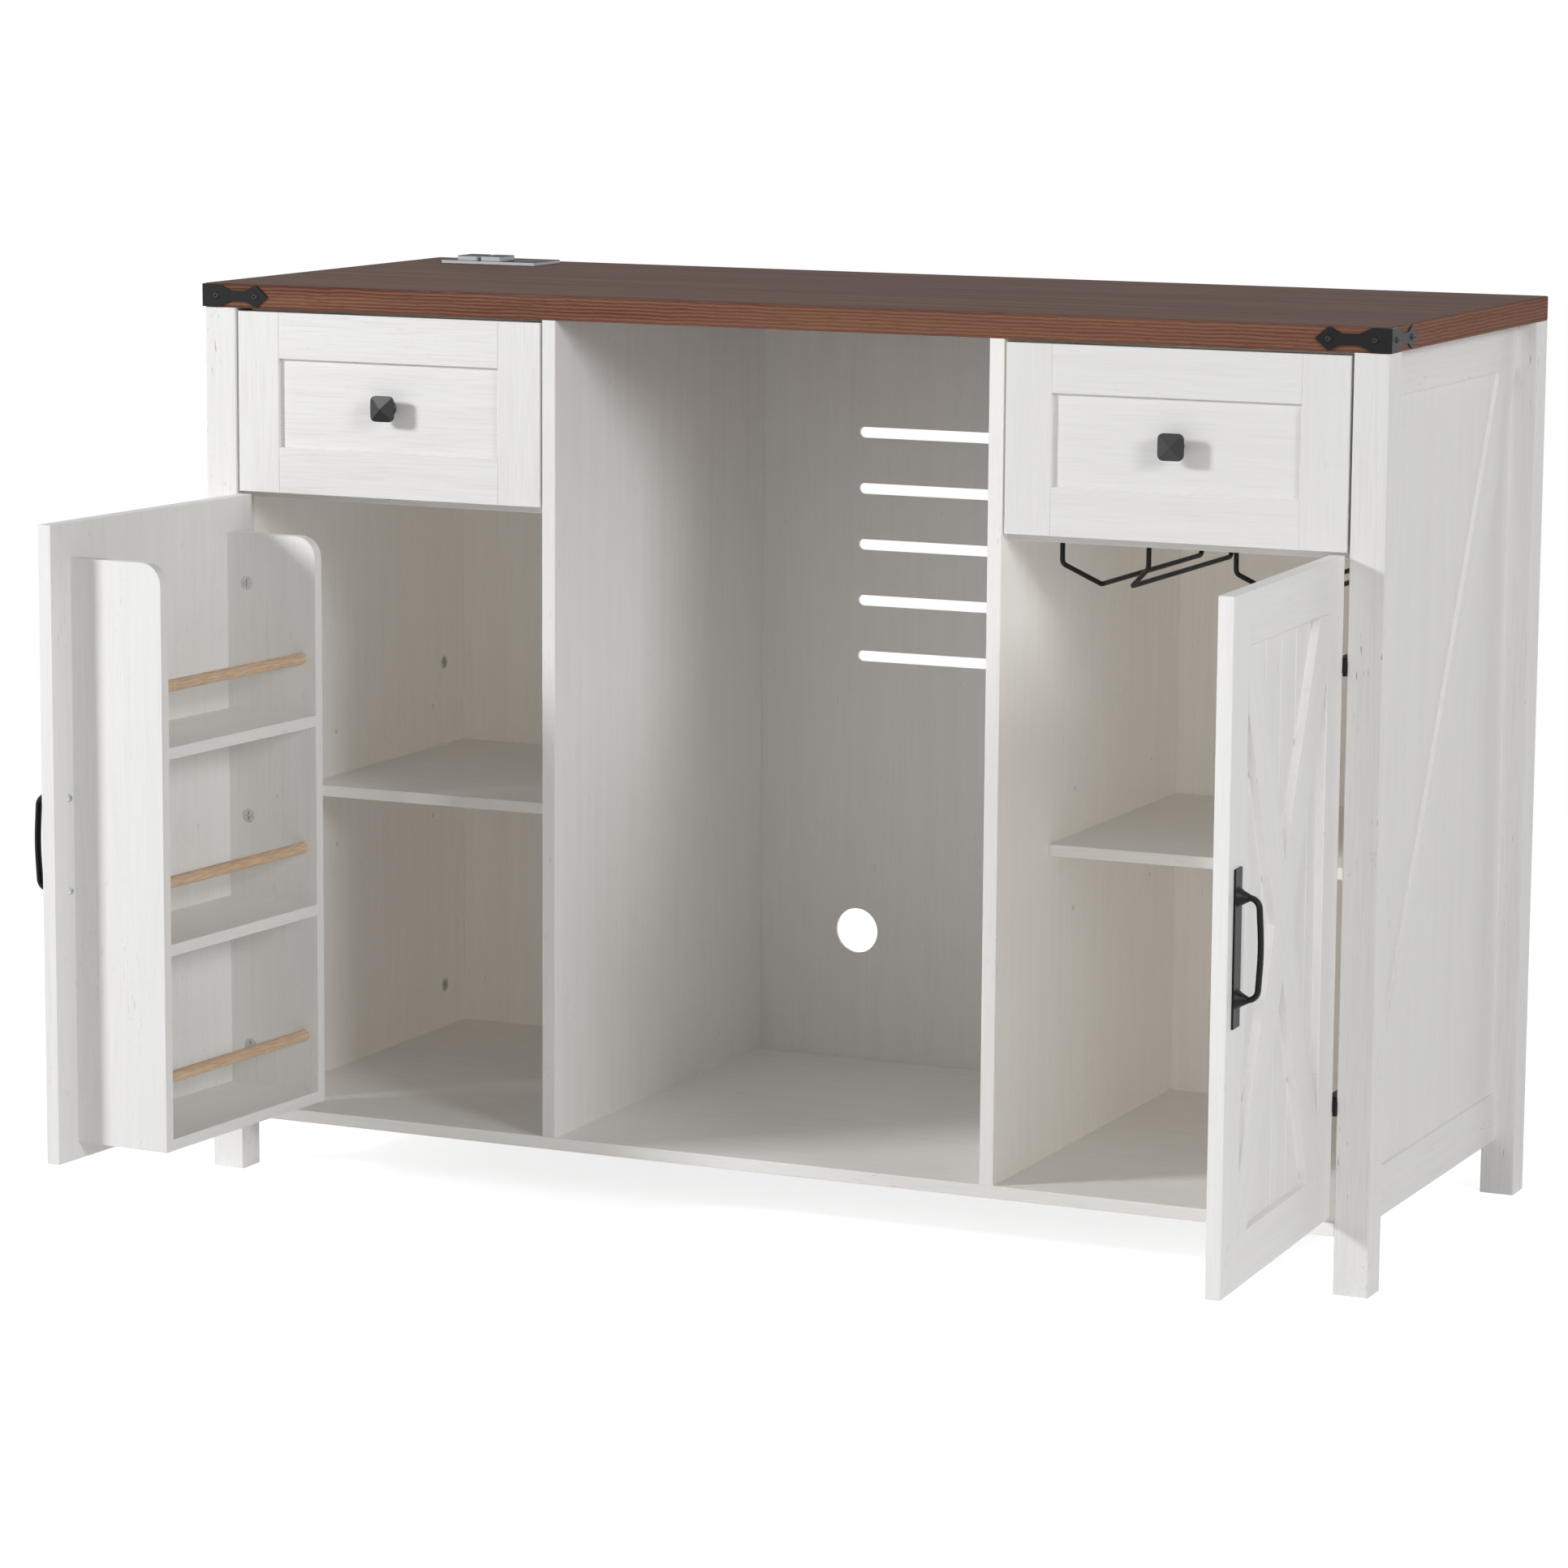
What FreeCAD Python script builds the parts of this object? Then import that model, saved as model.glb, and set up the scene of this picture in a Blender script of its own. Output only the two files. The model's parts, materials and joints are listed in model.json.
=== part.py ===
"""Coffee bar cabinet: a farmhouse sideboard with an open appliance bay between two cupboards.

Frame: millimetres, +Z up, +X to the right and +Y to the rear as seen from the front.
The origin is the centre of the footprint at floor level.
Both doors are drawn open, as they stand at rest, and both drawers closed.
"""
import FreeCAD, Part
import Sketcher
import math
import os

V = FreeCAD.Vector
RIGHT = V(1, 0, 0)
REARWARD = V(0, 1, 0)
FORWARD = V(0, -1, 0)
UP = V(0, 0, 1)

# Driving sizes: alias, millimetres (degrees for the two door angles), what it sets
DRIVING_SIZES = [
    ("overall_width", 1290, "across the outer faces of the posts"),
    ("overall_depth", 516, "front to rear across the posts"),
    ("overall_height", 940, "floor to worktop"),
    ("top_thickness", 25, "worktop board"),
    ("top_ease", 1.5, "rounding of the worktop edges"),
    ("post_side", 36, "square section of the posts"),
    ("post_ease", 1.5, "rounding of the post edges"),
    ("board_ease", 0.8, "rounding of board edges"),
    ("hole_skin", 2, "board left behind a blind hole"),
    ("cut_overrun", 1, "how far a cutting block runs past the faces it opens"),
    ("floor_gap", 58, "floor to the underside of the bottom panel"),
    ("bottom_thickness", 13, "bottom panel"),
    ("divider_thickness", 15, "upright boards beside the bay"),
    ("bay_width", 474, "clear width of the open bay"),
    ("side_thickness", 15, "side panel over its rails"),
    ("side_relief", 4, "depth of the sunk field in a side panel"),
    ("side_bottom_rail", 51, "height of a side panel's lower rail"),
    ("side_top_rail", 47, "height of a side panel's upper rail"),
    ("side_brace_run", 56, "side brace measured along the rail"),
    ("back_thickness", 4, "back panels"),
    ("back_inset", 7, "rear of the posts to the rear of the back panels"),
    ("back_joint", 1, "gap between two back panels"),
    ("drawer_space", 186, "drawer deck to the underside of the worktop"),
    ("deck_thickness", 12, "board under each drawer"),
    ("deck_setback", 0.7, "deck edge behind the drawer front"),
    ("vent_length", 244, "vent slot end to end"),
    ("vent_height", 12, "vent slot"),
    ("vent_pitch", 61.4, "from slot to slot"),
    ("vent_drop", 148.5, "underside of the worktop to the centre of the top slot"),
    ("cable_hole", 50, "diameter of the cable hole"),
    ("cable_hole_side", 120, "cable hole left of centre"),
    ("cable_hole_rise", 143.5, "cable hole above the bottom panel"),
    ("shelf_thickness", 12, "adjustable shelf"),
    ("shelf_rise", 312.5, "bottom panel to the underside of the shelf"),
    ("shelf_setback", 138, "shelf behind the front of the cabinet"),
    ("shelf_play", 0.6, "play of the shelf at its ends and rear"),
    ("pin_diameter", 5, "shelf pin and its hole"),
    ("pin_reach", 9, "shelf pin out of the wall"),
    ("pin_hole_pitch", 62, "from pin hole to pin hole, up the wall"),
    ("pin_rear", 76, "rear pin holes in front of the back panel"),
    ("pin_span", 221, "from rear to front pin hole"),
    ("cam_diameter", 15, "cam lock"),
    ("cam_slot", 1.6, "width and depth of the cross in a cam lock"),
    ("cam_edge", 23.5, "cam lock centre from the board's edge"),
    ("side_cam_low", 48, "lower side cam above the bottom panel"),
    ("side_cam_rise", 370, "from the lower side cam to the upper one"),
    ("door_thickness", 15, "doors and drawer fronts over their frames"),
    ("door_relief", 8, "depth of the sunk field in doors"),
    ("front_relief", 4.5, "depth of the sunk field in drawer fronts"),
    ("front_far_gap", 3, "drawer front to post"),
    ("door_frame", 50, "stiles and rails of a door"),
    ("door_hinge_gap", 2.4, "door to post"),
    ("door_free_gap", 2.5, "door to divider"),
    ("door_bottom_gap", 6, "door above the bottom panel"),
    ("door_top_lap", 5, "door over the edge of the deck"),
    ("door_brace_run", 26.5, "half of a door brace along the rail"),
    ("groove_depth", 2, "plank groove in a door"),
    ("groove_pitch", 48, "from groove to groove"),
    ("pivot_proud", 1.5, "hinge axis in front of the door face"),
    ("left_open", 94, "left door, degrees from closed"),
    ("right_open", 92.5, "right door, degrees from closed"),
    ("hinge_inset", 108, "hinge centre from the end of the door"),
    ("cup_diameter", 26, "hinge cup"),
    ("cup_depth", 11, "hinge cup in the door"),
    ("cup_wall", 1.2, "hinge cup wall and flange"),
    ("cup_edge", 17.5, "hinge cup centre from the door's edge"),
    ("cup_flange_height", 42, "flange of the hinge cup, up the door"),
    ("cup_flange_width", 12, "flange of the hinge cup, across the door"),
    ("hinge_plate_height", 44, "plate of the hinge arm"),
    ("hinge_plate_thickness", 2.5, "plate of the hinge arm"),
    ("hinge_nose", 14, "hinge arm in front of its plate"),
    ("hinge_arm_height", 15, "hinge arm"),
    ("hinge_arm_reach", 16, "hinge arm out of the wall"),
    ("hinge_arm_length", 58, "hinge arm, front to rear"),
    ("hinge_clearance", 0.5, "hinge arm behind the cup flange"),
    ("hinge_strap", 1, "strap of the hinge arm in the gap beside the door"),
    ("hinge_pin_play", 0.3, "hinge pin in front of the door's corner"),
    ("handle_edge", 25, "handle centre from the door's free edge"),
    ("handle_plate_width", 20, "handle backplate"),
    ("handle_plate_end", 26.5, "handle backplate beyond a bolt"),
    ("handle_plate_thickness", 2, "handle backplate"),
    ("handle_bolt_span", 94, "from handle bolt to handle bolt"),
    ("handle_reach", 22, "handle bow out of the backplate"),
    ("handle_bulge", 3, "crown of the handle bow"),
    ("handle_bend", 10, "bend radius of the handle bow"),
    ("handle_crown", 300, "radius of the bow's crown"),
    ("handle_bow_width", 8, "section of the handle bow across the door"),
    ("handle_bow_depth", 5.6, "section of the handle bow out of the door"),
    ("handle_foot", 20, "diameter of the bow's foot on the backplate"),
    ("handle_foot_height", 4.5, "steep part of the flare of a foot"),
    ("handle_waist", 13, "diameter of a foot at the end of its steep part"),
    ("handle_neck_length", 7, "slender part of the flare of a foot"),
    ("bolt_diameter", 4, "handle bolt"),
    ("bolt_head", 8, "diameter of the handle bolt's head"),
    ("bolt_head_height", 2.6, "head of the handle bolt"),
    ("bolt_grip", 8, "handle bolt in the bow's foot"),
    ("rack_margin", 33, "spice rack from each edge of the door"),
    ("rack_board", 12, "boards of the spice rack"),
    ("rack_depth", 108, "spice rack out of the door"),
    ("rack_top_gap", 35, "spice rack below the top of the door"),
    ("rack_rise", 18, "spice rack above the foot of the door"),
    ("rack_corner", 22, "rounding of the rack's top corners"),
    ("rack_shelf_pitch", 198, "from rack shelf to rack shelf"),
    ("dowel_diameter", 12, "spice rack dowel"),
    ("dowel_rise", 58, "dowel axis above its shelf"),
    ("dowel_setback", 17, "dowel axis behind the rack's front edge"),
    ("rack_cam_inset", 52, "rack cam from the end of its board"),
    ("drawer_gap", 2.5, "drawer front above the door"),
    ("drawer_top_gap", 3, "drawer front below the worktop"),
    ("drawer_frame", 48, "stiles and rails of a drawer front"),
    ("drawer_board", 12, "sides and back of a drawer"),
    ("drawer_side_height", 125, "sides of a drawer"),
    ("drawer_rise", 12, "drawer sides above the deck"),
    ("drawer_length", 350, "sides of a drawer, front to rear"),
    ("drawer_floor", 4, "bottom of a drawer"),
    ("drawer_floor_rise", 6, "bottom of a drawer above the foot of its sides"),
    ("runner_gap", 13, "drawer side to carcass"),
    ("runner_height", 36, "cabinet half of a runner"),
    ("runner_depth", 10, "cabinet half of a runner out of the wall"),
    ("runner_wall", 1.5, "sheet of the runners"),
    ("runner_play", 0.5, "running clearance in the runners"),
    ("runner_rise", 38, "foot of the drawer side to the foot of the runner"),
    ("knob_side", 26.5, "square head of a knob"),
    ("knob_corner", 6, "rounding of the knob's corners"),
    ("knob_rim", 2.5, "upright edge of the knob's head"),
    ("knob_peak", 4.6, "pyramid on the knob's head"),
    ("knob_tip", 1, "flat on the knob's tip"),
    ("knob_neck", 10, "diameter of the knob's neck"),
    ("knob_neck_length", 14, "neck of the knob"),
    ("knob_base", 17, "diameter of the knob's base"),
    ("knob_base_height", 3, "base of the knob"),
    ("strap_thickness", 2, "corner strap"),
    ("strap_margin", 0.7, "strap inside the worktop's edges"),
    ("strap_plate", 18, "wide part of a strap leg at the corner"),
    ("strap_shoulder_run", 13, "slope from the wide part to the waist"),
    ("strap_waist_run", 18, "straight waist"),
    ("strap_waist_half", 5.5, "half height of the waist"),
    ("strap_flare_run", 12, "slope from the waist to the spearhead's width"),
    ("strap_point_run", 14, "spearhead's width to its point"),
    ("strap_screw_setback", 3, "first screw from the end of the wide part"),
    ("strap_screw_head", 7, "diameter of a strap screw's head"),
    ("strap_screw_proud", 2, "head of a strap screw"),
    ("strap_screw_shank", 3, "diameter of a strap screw's shank"),
    ("strap_screw_length", 14, "shank of a strap screw"),
    ("outlet_width", 115, "outlet plate"),
    ("outlet_depth", 63, "outlet plate, front to rear"),
    ("outlet_thickness", 3.5, "outlet plate"),
    ("outlet_ease", 1, "rounding of the outlet plate and sockets"),
    ("outlet_side", 51, "outlet plate from the left end of the worktop"),
    ("outlet_rear", 28, "outlet plate from the rear of the worktop"),
    ("outlet_lip", 6, "outlet plate beyond its housing"),
    ("outlet_play", 0.5, "housing in its cut-out"),
    ("outlet_drop", 18, "housing below the worktop"),
    ("socket_width", 24, "raised socket module"),
    ("socket_gap", 5, "between the two socket modules"),
    ("socket_depth", 35, "raised socket module, front to rear"),
    ("socket_height", 5, "socket module above the plate"),
    ("socket_side", 19, "socket modules from the plate's left end"),
    ("socket_front", 2, "socket modules from the plate's front"),
    ("wire_diameter", 5, "stemware wire"),
    ("wire_bend", 7, "bend radius of a stemware wire"),
    ("wire_setback", 55, "front of the stemware wires from the cabinet's front"),
    ("wire_run", 320, "stemware wires, front to rear"),
    ("wire_drop", 25, "straight drop below the deck"),
    ("wire_fall", 22.5, "further fall of the slanted part"),
    ("wire_slant", 33, "rearward reach of the slanted part"),
    ("wire_lean", 29, "sideways reach of the slanted part"),
    ("wire_spread", 90.5, "between the two wires of a channel, at the deck"),
    ("wire_channel_pitch", 181, "from channel to channel"),
]
VENT_COUNT = 5
RACK_SHELF_COUNT = 3
HINGE_WEB_SHARE = 0.8
SCREW_CROWN_SHARE = 0.7
SCREW_SOCKET_SHARE = 0.4
SCREW_SOCKET_DEPTH_SHARE = 0.6
CAM_CROSS_SHARE = 0.3
EDGE_TOLERANCE = 1e-6
SIDES = (("left", -1), ("right", 1))
ENDS = (("lower", -1), ("upper", 1))

doc = FreeCAD.newDocument("coffee_bar_cabinet")
sheet = doc.addObject("Spreadsheet::Sheet", "Sizes")
for row, (alias, number, note) in enumerate(DRIVING_SIZES, start=1):
    sheet.set(f"A{row}", note)
    sheet.set(f"B{row}", str(number))
    sheet.setAlias(f"B{row}", alias)
doc.recompute()


class Size:
    """A length that carries its number and the sheet expression that it comes from."""

    def __init__(self, text, value):
        self.text = text
        self.value = float(value)

    def __add__(self, other):
        other = as_size(other)
        return Size(f"({self.text} + {other.text})", self.value + other.value)

    def __sub__(self, other):
        other = as_size(other)
        return Size(f"({self.text} - {other.text})", self.value - other.value)

    def __mul__(self, other):
        other = as_size(other)
        return Size(f"({self.text} * {other.text})", self.value * other.value)

    def __truediv__(self, other):
        other = as_size(other)
        return Size(f"({self.text} / {other.text})", self.value / other.value)

    def __neg__(self):
        return Size(f"(0 - {self.text})", -self.value)


def as_size(item):
    """Plain numbers join in sums with sizes."""
    return item if isinstance(item, Size) else Size(repr(float(item)), item)


def size(alias):
    """The sheet's cell of that name."""
    return Size(f"Sizes.{alias}", sheet.get(alias))


ZERO = as_size(0)
NODES = []


def keep(part, label):
    """Name a finished sub-part and list it for writing."""
    part.Label = label
    NODES.append(part)


def mirrored(hand, near, far):
    """Limits along X on the right-hand side, or their mirror image on the left."""
    return (near, far) if hand > 0 else (-far, -near)


def move(part, x=ZERO, y=ZERO, z=ZERO, turn=None):
    """Place a part by expressions, turned about the upright axis where an angle is given."""
    for axis, step in (("x", x), ("y", y), ("z", z)):
        part.setExpression(f"Placement.Base.{axis}", as_size(step).text)
    if turn is not None:
        part.setExpression("Placement.Rotation.Angle", turn.text)
    return part


def block(name, x, y, z):
    """A square-edged board between a low and a high limit along each axis."""
    part = doc.addObject("Part::Box", name)
    for side, (low, high) in zip(("Length", "Width", "Height"), (x, y, z)):
        part.setExpression(side, (as_size(high) - low).text)
    return move(part, x[0], y[0], z[0])


def pick_edges(shape, along=None, farthest=None):
    """Names of a shape's edges: all, those parallel to an axis, or those that lie farthest one way."""
    found = []
    for number, edge in enumerate(shape.Edges, start=1):
        run = edge.Vertexes[-1].Point - edge.Vertexes[0].Point
        if along is None or abs(run.dot(along)) > 0.999 * run.Length:
            found.append((f"Edge{number}", edge.CenterOfMass))
    if farthest is not None:
        limit = max(centre.dot(farthest) for name, centre in found) - EDGE_TOLERANCE
        found = [(name, centre) for name, centre in found if centre.dot(farthest) > limit]
    return [name for name, centre in found]


def eased(name, x, y, z, radius, along=None, farthest=None):
    """A board with rounded edges: all of them, or those that pick_edges finds."""
    body = doc.addObject("PartDesign::Body", name)
    core = body.newObject("PartDesign::AdditiveBox", f"{name}_core")
    for side, (low, high) in zip(("Length", "Width", "Height"), (x, y, z)):
        core.setExpression(side, (as_size(high) - low).text)
    doc.recompute()
    rounding = body.newObject("PartDesign::Fillet", f"{name}_ease")
    rounding.Base = (core, pick_edges(core.Shape, along, farthest))
    rounding.setExpression("Radius", radius.text)
    body.Tip = rounding
    return move(body, x[0], y[0], z[0])


def rod(name, diameter, start, along, length):
    """A round bar from a start point along a direction."""
    part = doc.addObject("Part::Cylinder", name)
    part.setExpression("Radius", (diameter / 2).text)
    part.setExpression("Height", length.text)
    part.Placement.Rotation = FreeCAD.Rotation(UP, along)
    return move(part, *start)


def cone(name, wide, narrow, start, along, length):
    """A round taper from a start point along a direction."""
    part = doc.addObject("Part::Cone", name)
    part.setExpression("Radius1", (wide / 2).text)
    part.setExpression("Radius2", (narrow / 2).text)
    part.setExpression("Height", length.text)
    part.Placement.Rotation = FreeCAD.Rotation(UP, along)
    return move(part, *start)


def group(name, parts):
    """Several solids under one name."""
    parcel = doc.addObject("Part::Compound", name)
    parcel.Links = parts
    return parcel


def carve(name, base, tools):
    """A part with the space of the tools cut out of it."""
    cut = doc.addObject("Part::Cut", name)
    cut.Base = base
    cut.Tool = tools[0] if len(tools) == 1 else group(f"{name}_tools", tools)
    return cut


def unite(name, parts):
    """Several shapes that make one solid."""
    joined = doc.addObject("Part::MultiFuse", name)
    joined.Shapes = parts
    return joined


def outline(body, name, role, points):
    """A closed sketch of straight lines through points, each tied to the sheet both ways."""
    sketch = body.newObject("Sketcher::SketchObject", name)
    plane = [item for item in body.Origin.OriginFeatures if item.Role == role][0]
    sketch.AttachmentSupport = [(plane, "")]
    sketch.MapMode = "FlatFace"
    points = [(as_size(across), as_size(up)) for across, up in points]
    corners = [V(across.value, up.value, 0) for across, up in points]
    followers = corners[1:] + corners[:1]
    for corner, follower in zip(corners, followers):
        sketch.addGeometry(Part.LineSegment(corner, follower), False)
    for number in range(len(points)):
        follower = (number + 1) % len(points)
        sketch.addConstraint(Sketcher.Constraint("Coincident", number, 2, follower, 1))
    for number, point in enumerate(points):
        for kind, place in zip(("DistanceX", "DistanceY"), point):
            rule = sketch.addConstraint(Sketcher.Constraint(kind, -1, 1, number, 1, place.value))
            sketch.setExpression(f"Constraints[{rule}]", place.text)
    return sketch


def raise_outline(body, name, role, points, height, backwards=False):
    """Pad a sketched outline off one of the body's own planes."""
    pad = body.newObject("PartDesign::Pad", name)
    pad.Profile = outline(body, f"{name}_outline", role, points)
    pad.setExpression("Length", height.text)
    pad.Reversed = backwards
    body.Tip = pad


def rounded_path(points, radii):
    """Straight runs joined by tangent arcs, one radius for each inner point."""
    edges = []
    start = points[0]
    for before, corner, after, radius in zip(points, points[1:], points[2:], radii):
        into = (before - corner).normalize()
        out = (after - corner).normalize()
        half = into.getAngle(out) / 2
        first = corner + into * (radius / math.tan(half))
        last = corner + out * (radius / math.tan(half))
        middle = corner + (into + out).normalize() * (radius / math.sin(half) - radius)
        edges.append(Part.LineSegment(start, first).toShape())
        edges.append(Part.Arc(first, middle, last).toShape())
        start = last
    edges.append(Part.LineSegment(start, points[-1]).toShape())
    return Part.Wire(edges)


def bent_bar(name, points, radii, section):
    """A bar of one section bent along a rounded path."""
    part = doc.addObject("Part::Feature", name)
    part.Shape = rounded_path(points, radii).makePipeShell([Part.Wire(section)], True, False)
    return part


def screw(name, seat, outward, head, proud, shank, length):
    """A screw on a seat point: a low tapered head with a socket, and its shank behind it."""
    top = cone(f"{name}_head", head, head * SCREW_CROWN_SHARE, seat, outward, proud)
    stem = rod(f"{name}_shank", shank, seat, outward * -1, length)
    crown = [place + proud * step for place, step in zip(seat, outward)]
    socket = rod(f"{name}_socket", head * SCREW_SOCKET_SHARE, crown, outward * -1,
                 proud * SCREW_SOCKET_DEPTH_SHARE)
    return carve(name, unite(f"{name}_blank", [top, stem]), [socket])


def cam_lock(name, place, inward, length):
    """A round cam lock, flush with its board, with a cross in its face."""
    barrel = rod(f"{name}_barrel", size("cam_diameter"), place, inward, length)
    arm = size("cam_diameter") * CAM_CROSS_SHARE
    slot = size("cam_slot") / 2
    x, y, z = place
    depth = (-size("cam_slot"), size("cam_slot"))
    reach = (x + depth[0], x + depth[1])
    upright = block(f"{name}_upright", reach, (y - slot, y + slot), (z - arm, z + arm))
    level = block(f"{name}_level", reach, (y - arm, y + arm), (z - slot, z + slot))
    return carve(name, barrel, [upright, level])


# Planes that the pieces share
half_width = size("overall_width") / 2
front = -(size("overall_depth") / 2)
rear = size("overall_depth") / 2
top_high = size("overall_height")
top_low = top_high - size("top_thickness")
inner_x = half_width - size("post_side")
bottom_high = size("floor_gap") + size("bottom_thickness")
bay_half = size("bay_width") / 2
divider_x = bay_half + size("divider_thickness")
back_rear = rear - size("back_inset")
back_front = back_rear - size("back_thickness")
fronts_back = front + size("door_thickness")
deck_high = top_low - size("drawer_space")
deck_low = deck_high - size("deck_thickness")
deck_front = fronts_back + size("deck_setback")
shelf_low = bottom_high + size("shelf_rise")
field_thickness = size("side_thickness") - size("side_relief")
side_hole = field_thickness - size("hole_skin")
divider_hole = size("divider_thickness") - size("hole_skin")
post_front = front + size("post_side")
post_rear = rear - size("post_side")
door_low = bottom_high + size("door_bottom_gap")
door_high = deck_low + size("door_top_lap")
door_width = inner_x - divider_x - size("door_hinge_gap") - size("door_free_gap")
hinge_levels = (door_low + size("hinge_inset"), door_high - size("hinge_inset"))
front_near = divider_x + size("door_free_gap")
front_far = inner_x - size("front_far_gap")
hinge_x = inner_x - size("door_hinge_gap")
cupboard_centre = (divider_x + inner_x) / 2


# Worktop, corner straps and outlet
strap_half = size("top_thickness") / 2 - size("strap_margin")
strap_middle = top_low + size("top_thickness") / 2
strap_shoulder = size("strap_plate") + size("strap_shoulder_run")
strap_waist = strap_shoulder + size("strap_waist_run")
strap_spear = strap_waist + size("strap_flare_run")
strap_point = strap_spear + size("strap_point_run")
strap_screw_places = (size("strap_plate") - size("strap_screw_setback"), strap_spear)


def strap_leg(direction, start):
    """Outline of one strap leg, from the corner to the point of its spearhead."""
    waist = size("strap_waist_half")
    upper = [(start, strap_half), (size("strap_plate"), strap_half), (strap_shoulder, waist),
             (strap_waist, waist), (strap_spear, strap_half), (strap_point, ZERO)]
    lower = [(along, -half) for along, half in reversed(upper[:-1])]
    return [(along * direction, half) for along, half in upper + lower]


screws = []
screw_holes = []
for side, hand in SIDES:
    corner = half_width * hand
    strap = doc.addObject("PartDesign::Body", f"{side}_strap_body")
    raise_outline(strap, f"{side}_strap_front", "XZ_Plane",
                  strap_leg(-hand, -size("strap_thickness")), size("strap_thickness"))
    raise_outline(strap, f"{side}_strap_side", "YZ_Plane",
                  strap_leg(1, ZERO), size("strap_thickness"), backwards=hand < 0)
    move(strap, corner, front, strap_middle)
    holes = []
    for number, place in enumerate(strap_screw_places, start=1):
        seats = (
            ("front", (corner - place * hand, front - size("strap_thickness"), strap_middle), FORWARD),
            ("side", (corner + size("strap_thickness") * hand, front + place, strap_middle), RIGHT * hand),
        )
        for face, seat, outward in seats:
            name = f"{side}_{face}_screw_{number}"
            screws.append(screw(name, seat, outward, size("strap_screw_head"), size("strap_screw_proud"),
                                size("strap_screw_shank"), size("strap_screw_length")))
            holes.append(rod(f"{name}_hole", size("strap_screw_shank"), seat, outward * -1,
                             size("strap_screw_length")))
    keep(carve(f"{side}_strap", strap, holes), f"{side}_corner_strap")
    screw_holes += holes
keep(group("strap_screw_set", screws), "strap_screws")

outlet_left = size("outlet_side") - half_width
outlet_right = outlet_left + size("outlet_width")
outlet_back = rear - size("outlet_rear")
outlet_front = outlet_back - size("outlet_depth")
outlet_top = top_high + size("outlet_thickness")
keep(eased("outlet_plate_body", (outlet_left, outlet_right), (outlet_front, outlet_back),
           (top_high, outlet_top), size("outlet_ease"), along=UP), "outlet_plate")
lip = size("outlet_lip")
overrun = size("cut_overrun")
play = size("outlet_play")
keep(block("outlet_box", (outlet_left + lip, outlet_right - lip), (outlet_front + lip, outlet_back - lip),
           (top_low - size("outlet_drop"), top_high)), "outlet_housing")
outlet_hole = block("outlet_hole", (outlet_left + lip - play, outlet_right - lip + play),
                    (outlet_front + lip - play, outlet_back - lip + play),
                    (top_low - overrun, top_high + overrun))
sockets = []
for number in range(2):
    left = outlet_left + size("socket_side") + (size("socket_width") + size("socket_gap")) * number
    near = outlet_front + size("socket_front")
    sockets.append(eased(f"socket_{number + 1}", (left, left + size("socket_width")),
                         (near, near + size("socket_depth")),
                         (outlet_top, outlet_top + size("socket_height")), size("outlet_ease"), along=UP))
keep(group("socket_pair", sockets), "outlet_sockets")

worktop = eased("worktop", (-half_width, half_width), (front, rear), (top_low, top_high), size("top_ease"))
keep(carve("worktop_cut", worktop, [outlet_hole] + screw_holes), "tabletop")


# Posts, bottom, dividers, decks and backs
for side, hand in SIDES:
    for place, depth in (("front", (front, post_front)), ("rear", (post_rear, rear))):
        name = f"{side}_{place}_post"
        keep(eased(f"{name}_body", mirrored(hand, inner_x, half_width), depth, (ZERO, top_low),
                   size("post_ease"), along=UP), name)
keep(eased("bottom_board", (-inner_x, inner_x), (front, back_front), (size("floor_gap"), bottom_high),
           size("board_ease"), along=RIGHT), "bottom_panel")

pin_level = shelf_low - size("pin_diameter") / 2
pin_rear = back_front - size("pin_rear")
pin_places = (pin_rear - size("pin_span"), pin_rear)


def pin_holes(name, wall, inward, depth):
    """Three rows of blind shelf-pin holes in a wall."""
    holes = []
    for row in (-1, 0, 1):
        for place in pin_places:
            level = pin_level + size("pin_hole_pitch") * row
            seat = (wall, place, level)
            holes.append(rod(f"{name}_{len(holes)}", size("pin_diameter"), seat, inward, depth))
    return holes


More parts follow.
